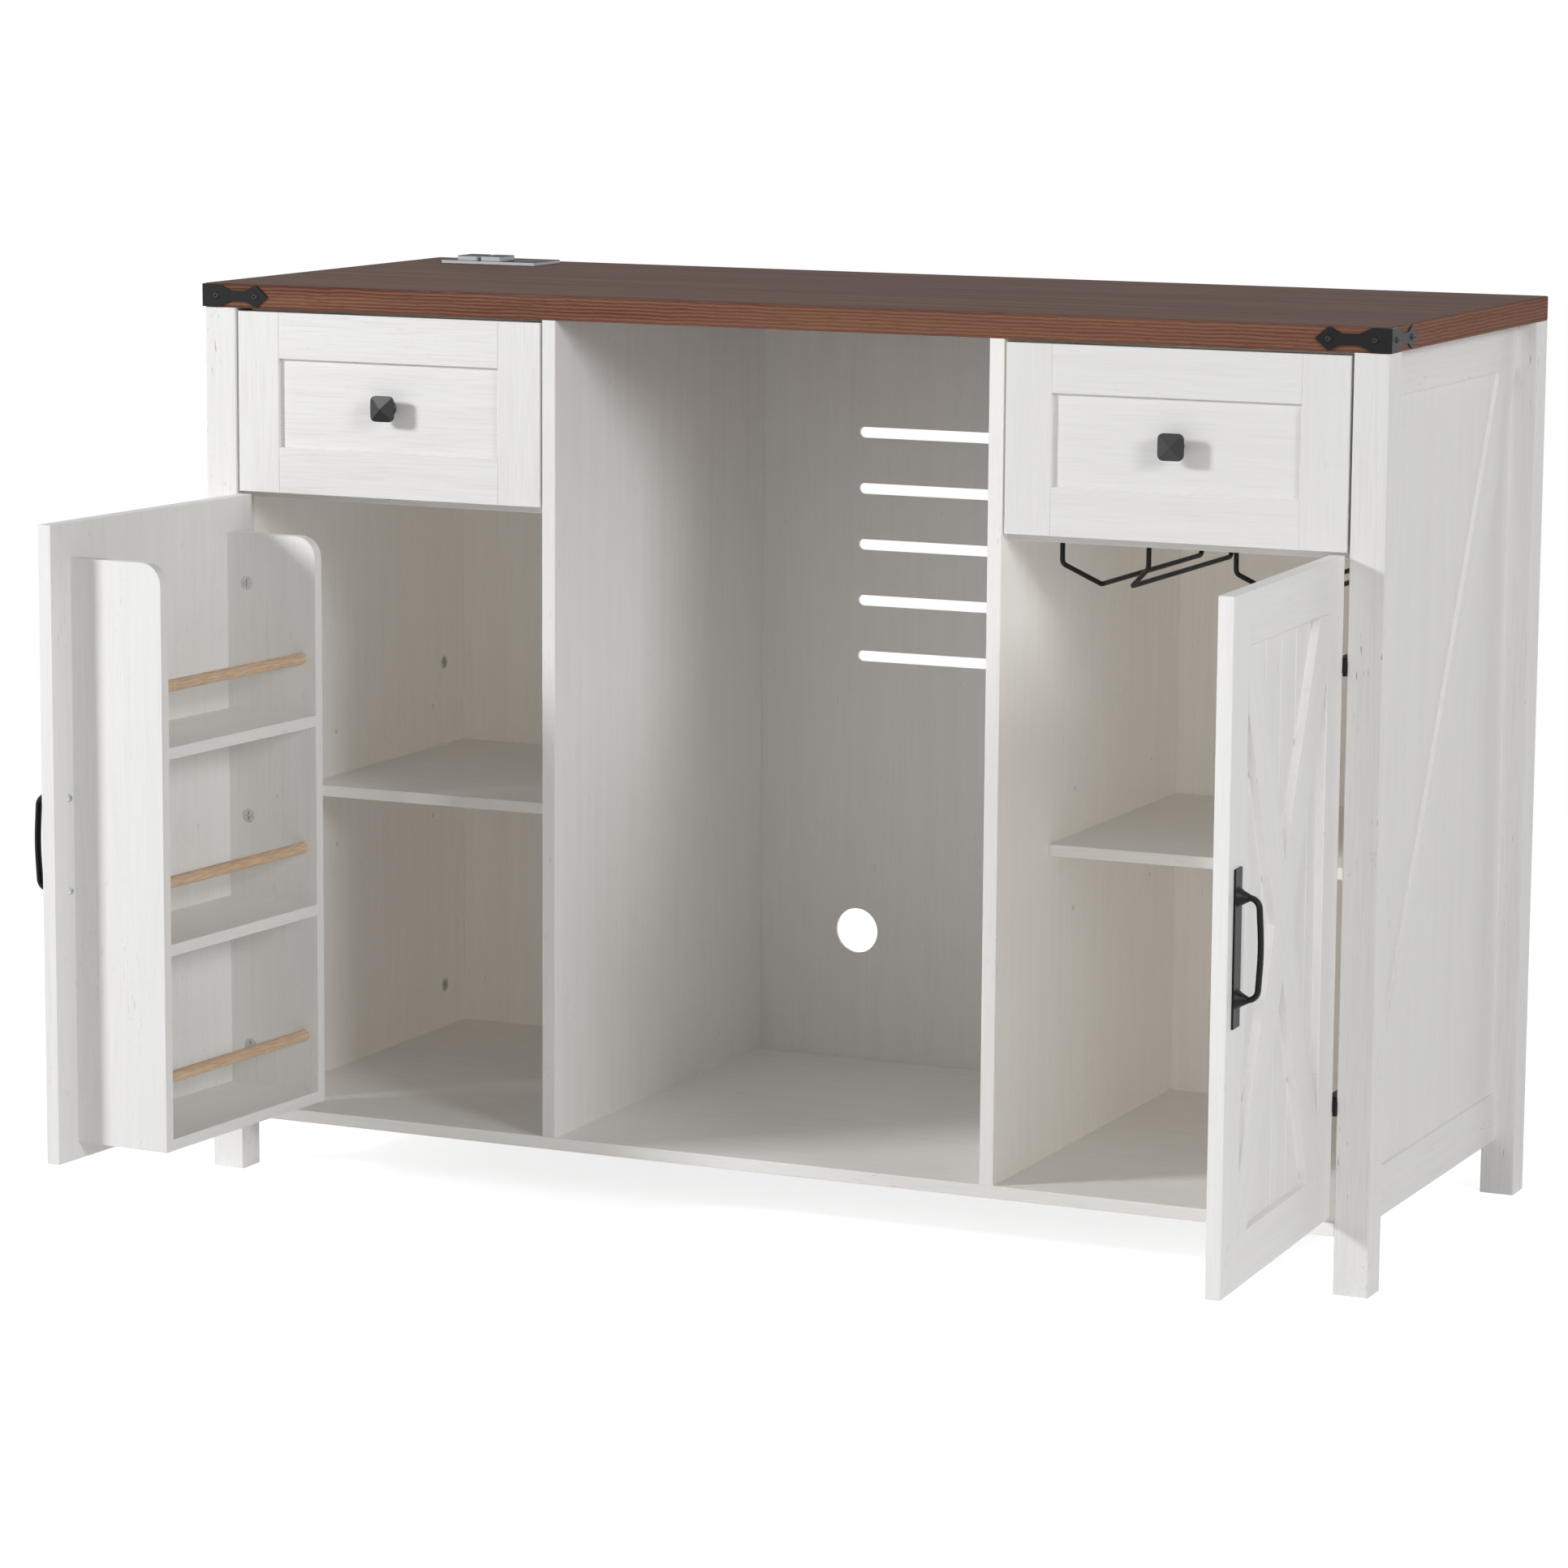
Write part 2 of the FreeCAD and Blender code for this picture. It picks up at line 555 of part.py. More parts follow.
pins = []
panel_cams = []
for side, hand in SIDES:
    outward = RIGHT * hand
    divider = eased(f"{side}_divider_board", mirrored(hand, bay_half, divider_x), (front, back_front),
                    (bottom_high, top_low), size("board_ease"), along=UP)
    keep(carve(f"{side}_divider_cut", divider,
               pin_holes(f"{side}_divider_hole", divider_x * hand, outward * -1, divider_hole)),
         f"{side}_divider")

    panel = doc.addObject("PartDesign::Body", f"{side}_panel_body")
    low, high = size("floor_gap"), top_low
    rail_low, rail_high = low + size("side_bottom_rail"), high - size("side_top_rail")
    run = size("side_brace_run")
    flat = ((post_front, low), (post_rear, low), (post_rear, high), (post_front, high))
    lower = ((post_front, low), (post_rear, low), (post_rear, rail_low), (post_front, rail_low))
    upper = ((post_front, rail_high), (post_rear, rail_high), (post_rear, high), (post_front, high))
    brace = ((post_front, rail_low), (post_front + run, rail_low),
             (post_rear, rail_high), (post_rear - run, rail_high))
    for layer, shape, height in (("field", flat, field_thickness),
                                 ("low_rail", lower, size("side_thickness")),
                                 ("high_rail", upper, size("side_thickness")),
                                 ("brace", brace, size("side_thickness"))):
        raise_outline(panel, f"{side}_{layer}", "YZ_Plane", shape, height, backwards=hand < 0)
    move(panel, inner_x * hand)
    holes = pin_holes(f"{side}_panel_hole", inner_x * hand, outward, side_hole)
    cam_low = bottom_high + size("side_cam_low")
    for place in (post_front + size("cam_edge"), post_rear - size("cam_edge")):
        for level in (cam_low, cam_low + size("side_cam_rise")):
            name = f"{side}_panel_cam_{len(panel_cams)}"
            seat = (inner_x * hand, place, level)
            holes.append(rod(f"{name}_hole", size("cam_diameter"), seat, outward, side_hole))
            panel_cams.append(cam_lock(name, seat, outward, side_hole))
    keep(carve(f"{side}_panel_cut", panel, holes), f"{side}_side_panel")

    keep(eased(f"{side}_deck_board", mirrored(hand, divider_x, inner_x), (deck_front, back_front),
               (deck_low, deck_high), size("board_ease"), along=RIGHT), f"{side}_drawer_deck")
    shelf_x = mirrored(hand, divider_x + size("shelf_play"), inner_x - size("shelf_play"))
    shelf_y = (front + size("shelf_setback"), back_front - size("shelf_play"))
    keep(eased(f"{side}_shelf_board", shelf_x, shelf_y,
               (shelf_low, shelf_low + size("shelf_thickness")), size("board_ease"), along=RIGHT),
         f"{side}_shelf")
    for wall, depth, along in ((divider_x, -divider_hole, outward), (inner_x, side_hole, outward * -1)):
        length = (divider_hole if depth.value < 0 else side_hole) + size("pin_reach")
        for place in pin_places:
            pins.append(rod(f"{side}_pin_{len(pins)}", size("pin_diameter"),
                            ((wall + depth) * hand, place, pin_level), along, length))
keep(group("pin_set", pins), "shelf_pins")
keep(group("panel_cam_set", panel_cams), "panel_cams")

back_split = bay_half + size("divider_thickness") / 2
half_joint = size("back_joint") / 2
back_depth = (back_front, back_rear)
back_height = (size("floor_gap"), top_low)
for side, hand in SIDES:
    back_x = mirrored(hand, back_split + half_joint, inner_x)
    keep(block(f"{side}_back_board", back_x, back_depth, back_height),
         f"{side}_back_panel")
centre_back = block("centre_back_board", (half_joint - back_split, back_split - half_joint),
                    back_depth, back_height)
through = size("back_thickness") * 3
through_start = back_front - size("back_thickness")
back_holes = [rod("cable_hole", size("cable_hole"),
                  (-size("cable_hole_side"), through_start, bottom_high + size("cable_hole_rise")),
                  REARWARD, through)]
vent_reach = (size("vent_length") - size("vent_height")) / 2
for number in range(VENT_COUNT):
    level = top_low - size("vent_drop") - size("vent_pitch") * number
    half = size("vent_height") / 2
    ends = [rod(f"vent_{number}_end_{hand}", size("vent_height"), (vent_reach * hand, through_start, level),
                REARWARD, through) for hand in (-1, 1)]
    slot = block(f"vent_{number}_slot", (-vent_reach, vent_reach), (through_start, through_start + through),
                 (level - half, level + half))
    back_holes.append(unite(f"vent_{number}", [slot] + ends))
keep(carve("centre_back_cut", centre_back, back_holes), "centre_back_panel")


# Stemware wires under the right-hand deck
wires = []
wire_front = front + size("wire_setback")
wire_rear = wire_front + size("wire_run")
wire_bow = wire_front + size("wire_slant")
wire_knee = deck_low - size("wire_drop")
wire_rail = wire_knee - size("wire_fall")
for channel in (-0.5, 0.5):
    for hand in (-1, 1):
        centre = cupboard_centre + size("wire_channel_pitch") * channel
        leg = centre + size("wire_spread") * (hand / 2)
        rail = leg - size("wire_lean") * hand
        route = [(leg, wire_front, deck_low), (leg, wire_front, wire_knee), (rail, wire_bow, wire_rail),
                 (rail, wire_rear, wire_rail), (rail, wire_rear, deck_low)]
        points = [V(*(place.value for place in point)) for point in route]
        section = Part.Circle(points[0], UP, size("wire_diameter").value / 2).toShape()
        wires.append(bent_bar(f"wire_{len(wires) + 1}", points, [size("wire_bend").value] * 3, section))
keep(group("wire_set", wires), "stemware_wires")


# Doors
def door_brace(name, x, z, back):
    """An X of one whole band and two half bands, from corner to corner of the door's window."""
    run = size("door_brace_run")
    rise = run * (z[1] - z[0]) / (x[1] - x[0])
    rising = [(x[0], z[0]), (x[0] + run, z[0]), (x[1], z[1] - rise),
              (x[1], z[1]), (x[1] - run, z[1]), (x[0], z[0] + rise)]
    falling = [(x[0], z[1]), (x[0], z[1] - rise), (x[1] - run, z[0]),
               (x[1], z[0]), (x[1], z[0] + rise), (x[0] + run, z[1])]
    bands = []
    for band, shape in (("rising", rising), ("falling", falling)):
        body = doc.addObject("PartDesign::Body", f"{name}_{band}")
        raise_outline(body, f"{name}_{band}_pad", "XZ_Plane", shape, size("door_relief"))
        bands.append(move(body, ZERO, back, ZERO))
    return [bands[0], carve(f"{name}_halves", bands[1], [bands[0]])]


def bow_handle(name, x, face, level, bolts):
    """A flat backplate with a bow on two flared feet."""
    plate_face = face - size("handle_plate_thickness")
    half_span = size("handle_bolt_span") / 2
    half_plate = half_span + size("handle_plate_end")
    half_across = size("handle_plate_width") / 2
    pieces = [block(f"{name}_plate", (x - half_across, x + half_across), (plate_face, face),
                    (level - half_plate, level + half_plate))]
    for end, sign in ENDS:
        foot_z = level + half_span * sign
        pieces.append(cone(f"{name}_{end}_foot", size("handle_foot"), size("handle_waist"),
                           (x, plate_face, foot_z), FORWARD, size("handle_foot_height")))
        pieces.append(cone(f"{name}_{end}_neck", size("handle_waist"), size("handle_bow_depth"),
                           (x, plate_face - size("handle_foot_height"), foot_z), FORWARD,
                           size("handle_neck_length")))
    shoulder = plate_face - size("handle_reach") + size("handle_bow_depth") / 2
    crown = shoulder - size("handle_bulge")
    route = [(plate_face, -half_span), (shoulder, -half_span), (crown, ZERO),
             (shoulder, half_span), (plate_face, half_span)]
    points = [V(x.value, out.value, (level + up).value) for out, up in route]
    bend, arch = size("handle_bend").value, size("handle_crown").value
    half_sizes = (size("handle_bow_width").value / 2, size("handle_bow_depth").value / 2)
    root = points[0]
    section = Part.Ellipse(root + RIGHT * half_sizes[0], root + UP * half_sizes[1], root).toShape()
    pieces.append(bent_bar(f"{name}_bow", points, [bend, arch, bend], section))
    return carve(f"{name}_drilled", unite(f"{name}_whole", pieces), bolts)


def make_door(side, hand):
    """One door in its own frame, X from its hinge axis to its free edge, then hung and opened."""
    reach = -hand
    face = size("pivot_proud")
    sunk = face + size("door_relief")
    inside = face + size("door_thickness")
    frame = size("door_frame")
    height = (door_low, door_high)
    window_x = mirrored(reach, frame, door_width - frame)
    window_z = (door_low + frame, door_high - frame)

    def hang(label, parts):
        """Name a door piece and swing it open about the hinge axis."""
        pivot = hinge_x * hand
        turn = size(f"{side}_open") * hand
        keep(move(group(f"{label}_set", parts), pivot, front - face, ZERO, turn), label)

    handle_x = (door_width - size("handle_edge")) * reach
    handle_z = (door_low + door_high) / 2
    bolt_length = size("door_thickness") + size("handle_plate_thickness") + size("bolt_grip")
    bolts, bolt_holes = [], []
    for end, sign in ENDS:
        seat = (handle_x, inside, handle_z + size("handle_bolt_span") * (sign / 2))
        bolts.append(screw(f"{side}_{end}_bolt", seat, REARWARD, size("bolt_head"), size("bolt_head_height"),
                           size("bolt_diameter"), bolt_length))
        bolt_holes.append(rod(f"{side}_{end}_bolt_hole", size("bolt_diameter"), seat, FORWARD, bolt_length))

    cups, cup_holes = [], []
    cup_x = size("cup_edge") * reach
    for (end, _), level in zip(ENDS, hinge_levels):
        name = f"{side}_{end}_cup"
        mouth = (cup_x, inside, level)
        outer = rod(f"{name}_outer", size("cup_diameter"), mouth, FORWARD, size("cup_depth"))
        half_flange = size("cup_flange_width") / 2
        half_tall = size("cup_flange_height") / 2
        flange = block(f"{name}_flange", (cup_x - half_flange, cup_x + half_flange),
                       (inside, inside + size("cup_wall")), (level - half_tall, level + half_tall))
        bowl = rod(f"{name}_bowl", size("cup_diameter") - size("cup_wall") * 2,
                   (cup_x, inside + size("cup_wall"), level), FORWARD, size("cup_depth"))
        cups.append(carve(name, unite(f"{name}_blank", [outer, flange]), [bowl]))
        cup_holes.append(rod(f"{name}_hole", size("cup_diameter"), mouth, FORWARD, size("cup_depth")))

    window_width = door_width - frame * 2
    grooves = []
    beside = int((window_width.value / 2 - size("groove_depth").value) // size("groove_pitch").value)
    for number in range(-beside, beside + 1):
        groove = doc.addObject("Part::Box", f"{side}_groove_{number + beside}")
        for length in ("Length", "Width"):
            groove.setExpression(length, (size("groove_depth") * math.sqrt(2)).text)
        groove.setExpression("Height", (window_z[1] - window_z[0]).text)
        groove.Placement.Rotation = FreeCAD.Rotation(UP, 45)
        middle = door_width / 2 * reach + size("groove_pitch") * number
        grooves.append(move(groove, middle, sunk - size("groove_depth"), window_z[0]))
    panel = block(f"{side}_door_board", mirrored(reach, ZERO, door_width), (sunk, inside), height)
    hang(f"{side}_door_panel", [carve(f"{side}_door_board_cut", panel, grooves + bolt_holes + cup_holes)])

    ease = size("board_ease")
    thick = (face, sunk)
    hinge_stile = eased(f"{side}_hinge_stile", mirrored(reach, ZERO, frame), thick, height, ease,
                        farthest=FORWARD)
    free_x = mirrored(reach, door_width - frame, door_width)
    free_stile = eased(f"{side}_free_stile", free_x, thick, height, ease, farthest=FORWARD)
    frame_pieces = [carve(f"{side}_hinge_stile_cut", hinge_stile, cup_holes),
                    carve(f"{side}_free_stile_cut", free_stile, bolt_holes),
                    eased(f"{side}_door_foot_rail", window_x, thick, (door_low, window_z[0]), ease,
                          farthest=FORWARD),
                    eased(f"{side}_door_head_rail", window_x, thick, (window_z[1], door_high), ease,
                          farthest=FORWARD)]
    hang(f"{side}_door_frame", frame_pieces)
    hang(f"{side}_door_brace", door_brace(f"{side}_brace", window_x, window_z, sunk))
    hang(f"{side}_door_handle", [bow_handle(f"{side}_handle", handle_x, face, handle_z, bolt_holes)])
    hang(f"{side}_handle_bolts", bolts)
    hang(f"{side}_hinge_cups", cups)
    return hang, inside


def make_spice_rack(hang, inside):
    """Open shelves with dowel rails on the inner face of the left door."""
    board = size("rack_board")
    low = door_low + size("rack_rise")
    high = door_high - size("rack_top_gap")
    depth = (inside, inside + size("rack_depth"))
    far = (size("rack_margin"), size("rack_margin") + board)
    near = (door_width - size("rack_margin") - board, door_width - size("rack_margin"))
    hole = board - size("hole_skin")
    shelves, dowels = [], []
    for number in range(RACK_SHELF_COUNT):
        foot = low + size("rack_shelf_pitch") * number
        shelves.append(eased(f"rack_shelf_{number + 1}", (far[1], near[0]), depth, (foot, foot + board),
                             size("board_ease"), along=RIGHT))
        start = (far[1] - hole, depth[1] - size("dowel_setback"), foot + board + size("dowel_rise"))
        dowels.append(rod(f"rack_dowel_{number + 1}", size("dowel_diameter"), start, RIGHT,
                          near[0] - far[1] + hole * 2))
    cams = []
    for name, limits, wall, inward in (("far", far, far[1], RIGHT * -1), ("near", near, near[0], RIGHT)):
        holes = []
        for level in (low + size("rack_cam_inset"), (low + high) / 2, high - size("rack_cam_inset")):
            seat = (wall, inside + size("cam_edge"), level)
            holes.append(rod(f"rack_{name}_cam_hole_{len(holes)}", size("cam_diameter"), seat, inward, hole))
            cams.append(cam_lock(f"rack_cam_{len(cams)}", seat, inward, hole))
        upright = eased(f"rack_{name}_upright", limits, depth, (low, high), size("rack_corner"),
                        along=RIGHT, farthest=REARWARD + UP)
        hang(f"rack_{name}_board", [carve(f"rack_{name}_cut", upright, holes + dowels)])
    hang("rack_shelves", shelves)
    hang("rack_dowels", dowels)
    hang("rack_cams", cams)


hang_left, door_inside = make_door("left", -1)
make_spice_rack(hang_left, door_inside)
make_door("right", 1)

arms = []
arm_front = fronts_back + size("cup_wall") + size("hinge_clearance")
pivot_y = front - size("pivot_proud")
pin_half = size("pivot_proud") - size("hinge_pin_play")
web_half = pin_half * HINGE_WEB_SHARE
for side, hand in SIDES:
    for (end, _), level in zip(ENDS, hinge_levels):
        name = f"{side}_{end}_arm"
        half_plate = size("hinge_plate_height") / 2
        half_arm = size("hinge_arm_height") / 2
        arm_rear = arm_front + size("hinge_arm_length")
        wall_plate = inner_x - size("hinge_plate_thickness")
        plate = block(f"{name}_plate", mirrored(hand, wall_plate, inner_x),
                      (arm_front + size("hinge_nose"), arm_rear), (level - half_plate, level + half_plate))
        bar = block(f"{name}_bar", mirrored(hand, inner_x - size("hinge_arm_reach"), wall_plate),
                    (arm_front, arm_rear), (level - half_arm, level + half_arm))
        span = (level - half_arm, level + half_arm)
        strap = block(f"{name}_strap", mirrored(hand, inner_x - size("hinge_strap"), inner_x),
                      (pivot_y - pin_half, arm_rear), span)
        web = block(f"{name}_web", mirrored(hand, hinge_x, inner_x),
                    (pivot_y - web_half, pivot_y + web_half), span)
        pin = rod(f"{name}_pin", pin_half * 2, (hinge_x * hand, pivot_y, span[0]), UP,
                  size("hinge_arm_height"))
        arms.append(unite(name, [plate, bar, strap, web, pin]))
keep(group("hinge_arm_set", arms), "hinge_arms")


# Drawers and their runners
def channel(name, x, y, z, wall, open_towards):
    """A length of sheet channel, a web and two flanges, open towards one side along X."""
    inner_limits = (x[0] + wall, x[1] + overrun) if open_towards > 0 else (x[0] - overrun, x[1] - wall)
    blank = block(f"{name}_blank", x, y, z)
    hollow = block(f"{name}_hollow", inner_limits, (y[0] - overrun, y[1] + overrun),
                   (z[0] + wall, z[1] - wall))
    return carve(name, blank, [hollow])


def pyramid_knob(name, x, seat, z):
    """A square head with a low pyramid on a round neck and base."""
    half = size("knob_side") / 2
    neck_end = seat - size("knob_neck_length")
    rim_end = neck_end - size("knob_rim")
    base = cone(f"{name}_base", size("knob_base"), size("knob_neck"), (x, seat, z), FORWARD,
                size("knob_base_height"))
    neck = rod(f"{name}_neck", size("knob_neck"), (x, seat, z), FORWARD, size("knob_neck_length"))
    tip = rim_end - size("knob_peak")
    prism = eased(f"{name}_prism", (x - half, x + half), (tip, neck_end), (z - half, z + half),
                  size("knob_corner"), along=REARWARD)
    rim = block(f"{name}_rim", (x - half, x + half), (rim_end, neck_end), (z - half, z + half))
    peak = doc.addObject("Part::Wedge", f"{name}_peak")
    small = size("knob_tip") / 2
    limits = (("Xmin", -small), ("Xmax", small), ("Zmin", -small), ("Zmax", small),
              ("X2min", -half), ("X2max", half), ("Z2min", -half), ("Z2max", half),
              ("Ymin", ZERO), ("Ymax", size("knob_peak")))
    for limit, value in limits:
        peak.setExpression(limit, value.text)
    move(peak, x, tip, z)
    head = doc.addObject("Part::MultiCommon", f"{name}_head")
    head.Shapes = [prism, unite(f"{name}_blank", [rim, peak])]
    return unite(name, [base, neck, head])


runners = []
frame = size("drawer_frame")
front_low = door_high + size("drawer_gap")
front_high = top_low - size("drawer_top_gap")
front_sunk = front + size("front_relief")
box_low = deck_high + size("drawer_rise")
box_high = box_low + size("drawer_side_height")
box_rear = fronts_back + size("drawer_length")
box_near = divider_x + size("runner_gap")
box_far = inner_x - size("runner_gap")
board = size("drawer_board")
runner_low = box_low + size("runner_rise")
runner_high = runner_low + size("runner_height")
member_inset = size("runner_wall") + size("runner_play")
for side, hand in SIDES:
    name = f"{side}_drawer"
    ease = size("board_ease")
    rails_x = mirrored(hand, front_near + frame, front_far - frame)
    thick = (front, front_sunk)
    pieces = [
        eased(f"{name}_near_stile", mirrored(hand, front_near, front_near + frame), thick,
              (front_low, front_high), ease, farthest=FORWARD),
        eased(f"{name}_far_stile", mirrored(hand, front_far - frame, front_far), thick,
              (front_low, front_high), ease, farthest=FORWARD),
        eased(f"{name}_foot_rail", rails_x, thick, (front_low, front_low + frame), ease, farthest=FORWARD),
        eased(f"{name}_head_rail", rails_x, thick, (front_high - frame, front_high), ease,
              farthest=FORWARD),
    ]
    keep(group(f"{name}_frame_set", pieces), f"{name}_front_frame")
    keep(block(f"{name}_panel_board", mirrored(hand, front_near, front_far), (front_sunk, fronts_back),
               (front_low, front_high)), f"{name}_front_panel")
    knob_x = (front_near + front_far) / 2 * hand
    keep(pyramid_knob(f"{name}_knob_body", knob_x, front_sunk, (front_low + front_high) / 2), f"{name}_knob")

    box_depth = (fronts_back, box_rear)
    box_height = (box_low, box_high)
    wall_limits = {"near": (box_near, box_near + board), "far": (box_far - board, box_far)}
    walls = [block(f"{name}_{place}_wall", mirrored(hand, *limits), box_depth, box_height)
             for place, limits in wall_limits.items()]
    keep(group(f"{name}_wall_set", walls), f"{name}_sides")
    inside_x = mirrored(hand, box_near + board, box_far - board)
    keep(block(f"{name}_back_board", inside_x, (box_rear - board, box_rear), box_height), f"{name}_back")
    floor_low = box_low + size("drawer_floor_rise")
    keep(block(f"{name}_floor", inside_x, (fronts_back, box_rear - board),
               (floor_low, floor_low + size("drawer_floor"))), f"{name}_bottom")

    members = []
    member_z = (runner_low + member_inset, runner_high - member_inset)
    for place, wall, drawer_side, towards in (("near", divider_x, box_near, 1),
                                              ("far", inner_x, box_far, -1)):
        outer_limits = sorted((wall, wall + size("runner_depth") * towards), key=lambda item: item.value)
        runners.append(channel(f"{name}_{place}_runner", mirrored(hand, *outer_limits),
                               (deck_front, deck_front + size("drawer_length")), (runner_low, runner_high),
                               size("runner_wall"), towards * hand))
        member_limits = sorted((wall + member_inset * towards, drawer_side), key=lambda item: item.value)
        members.append(channel(f"{name}_{place}_member", mirrored(hand, *member_limits),
                               (fronts_back, box_rear), member_z, size("runner_wall"), -towards * hand))
    keep(group(f"{name}_member_set", members), f"{name}_runners")
keep(group("cabinet_runner_set", runners), "cabinet_runners")

doc.recompute()
failed = [item.Label for item in doc.Objects if {"Invalid", "Error"} & set(item.State)]
if failed:
    raise RuntimeError(f"these objects failed: {failed}")
for node in NODES:
    if node.Shape.isNull() or not node.Shape.isValid() or not node.Shape.Solids:
        raise RuntimeError(f"{node.Label} has no valid solid")
os.makedirs("parts", exist_ok=True)
for node in NODES:
    node.Shape.exportStep(f"parts/{node.Label}.step")
print(f"{len(NODES)} sub-parts, {sum(len(node.Shape.Solids) for node in NODES)} solids")
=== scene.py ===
# %% [markdown]
# # Coffee bar cabinet
# A white farmhouse sideboard: a brown wood-grain top with black corner straps, an open bay for a
# cooler in the middle, a drawer and a cupboard on either side. Both doors stand open. The left one
# carries a spice rack, and stemware wires hang under the right drawer.
#
# Boards, straps, handles and knobs are rigid, and they come in with the frame as solids of the right
# size. New meshes over them could only repeat them, so this script adds none: it gives each piece its
# finish, lights the cabinet as in a plain studio and sets the camera.

# %% Frame
import json
import math
import bpy
import numpy as np
from mathutils import Matrix, Vector


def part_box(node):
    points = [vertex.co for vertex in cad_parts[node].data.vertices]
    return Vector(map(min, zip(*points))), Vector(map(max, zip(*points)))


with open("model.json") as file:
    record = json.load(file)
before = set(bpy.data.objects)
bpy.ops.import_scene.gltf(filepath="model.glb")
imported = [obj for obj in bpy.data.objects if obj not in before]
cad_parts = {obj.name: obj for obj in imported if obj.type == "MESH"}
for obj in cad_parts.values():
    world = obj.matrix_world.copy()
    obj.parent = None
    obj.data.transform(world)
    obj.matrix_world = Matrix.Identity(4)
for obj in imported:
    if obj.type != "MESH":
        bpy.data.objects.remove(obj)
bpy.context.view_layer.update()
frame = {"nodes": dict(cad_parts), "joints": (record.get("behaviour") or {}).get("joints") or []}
NODES = frame["nodes"]
JOINTS = {joint["name"]: joint for joint in frame["joints"]}
MM = 0.001
print(len(NODES), "pieces and", len(JOINTS), "joints in the frame")

# %% [markdown]
# ## Colours
# A colour picked on a screen is coded for the eye: its numbers rise faster than its light does. The
# shaders reckon in light. Colours could be written as light at once, but then no paint program would
# show them, so they are written as screen codes and one function turns them.

# %% Colours
def light(code):
    """A screen colour such as E8E6E2 as linear light, with full cover."""
    screen = np.array([int(code[place:place + 2], 16) for place in (0, 2, 4)]) / 255
    linear = np.where(screen <= 0.04045, screen / 12.92, ((screen + 0.055) / 1.055) ** 2.4)
    return (*linear.tolist(), 1.0)


print("a mid grey sends back", round(light("808080")[0], 3), "of the light that white does")

# %% [markdown]
# ## Nodes
# A finish is a tree of nodes that ends in a shader. It could be clicked together in the editor, but
# written down it can be read and changed. One function adds a node with its settings, its values and
# its links. Two more start and end a tree, and the last puts the finish on pieces of the frame.

# %% Nodes
def node(tree, kind, inputs=(), **settings):
    """Add a shader node; an input is a value or the output that feeds it."""
    made = tree.nodes.new("ShaderNode" + kind)
    for key, value in settings.items():
        setattr(made, key, value)
    for key, value in dict(inputs).items():
        if isinstance(value, bpy.types.NodeSocket):
            tree.links.new(value, made.inputs[key])
        else:
            made.inputs[key].default_value = value
    return made


def material(name):
    """An empty material and the tree of its nodes."""
    made = bpy.data.materials.new(name)
    made.use_nodes = True
    made.node_tree.nodes.clear()
    return made, made.node_tree


def surface(tree, inputs):
    """End a tree in the one shader that all the finishes use."""
    shader = node(tree, "BsdfPrincipled", inputs)
    node(tree, "OutputMaterial", {"Surface": shader.outputs[0]})


def paint(finish, names):
    """Give one finish to several pieces of the frame."""
    for name in names:
        mesh = NODES[name].data
        mesh.materials.clear()
        mesh.materials.append(finish)
        PAINTED.add(name)


PAINTED = set()
# A Mix node has its sockets for numbers, vectors and colours side by side, so they go by their place.
# A MapRange takes the value in socket 0 from the range in 1 and 2 to the range in 3 and 4, or to 0 and 1.
MIX_COLOUR = {"data_type": "RGBA"}
COLOUR_A, COLOUR_B, COLOUR_OUT = 6, 7, 2
MIX_VECTOR = {"data_type": "VECTOR"}
VECTOR_A, VECTOR_B, VECTOR_OUT = 4, 5, 1
print(len(NODES) - len(PAINTED), "pieces to finish")

# %% [markdown]
# ## Grain
# Every board shows wood grain along its length. A picture of wood could be wrapped on, but it would
# stretch on some faces and break off at the edges. Noise that depends on the place in space needs no
# wrapping: squeezed across the grain and drawn out along it, it gives streaks of a set length on
# faces, edges and ends alike. Rails, stiles and braces of one piece run in different directions, so
# each zone of a piece is turned until its grain lies along Z. A mask by place chooses the zone, and
# each zone is shifted too, so that no streak runs on from one board to the next.

# %% Grain
UPRIGHT = (0.0, 0.0, 0.0)
SIDEWAYS = (0.0, -math.pi / 2, 0.0)
REARWARD = (math.pi / 2, 0.0, 0.0)
ALONG_X = (1, 0, 0)
ALONG_Z = (0, 0, 1)
BEYOND = "GREATER_THAN"
WITHIN = "LESS_THAN"
ZONE_SHIFT = (0.37, 0.19, 0.53)


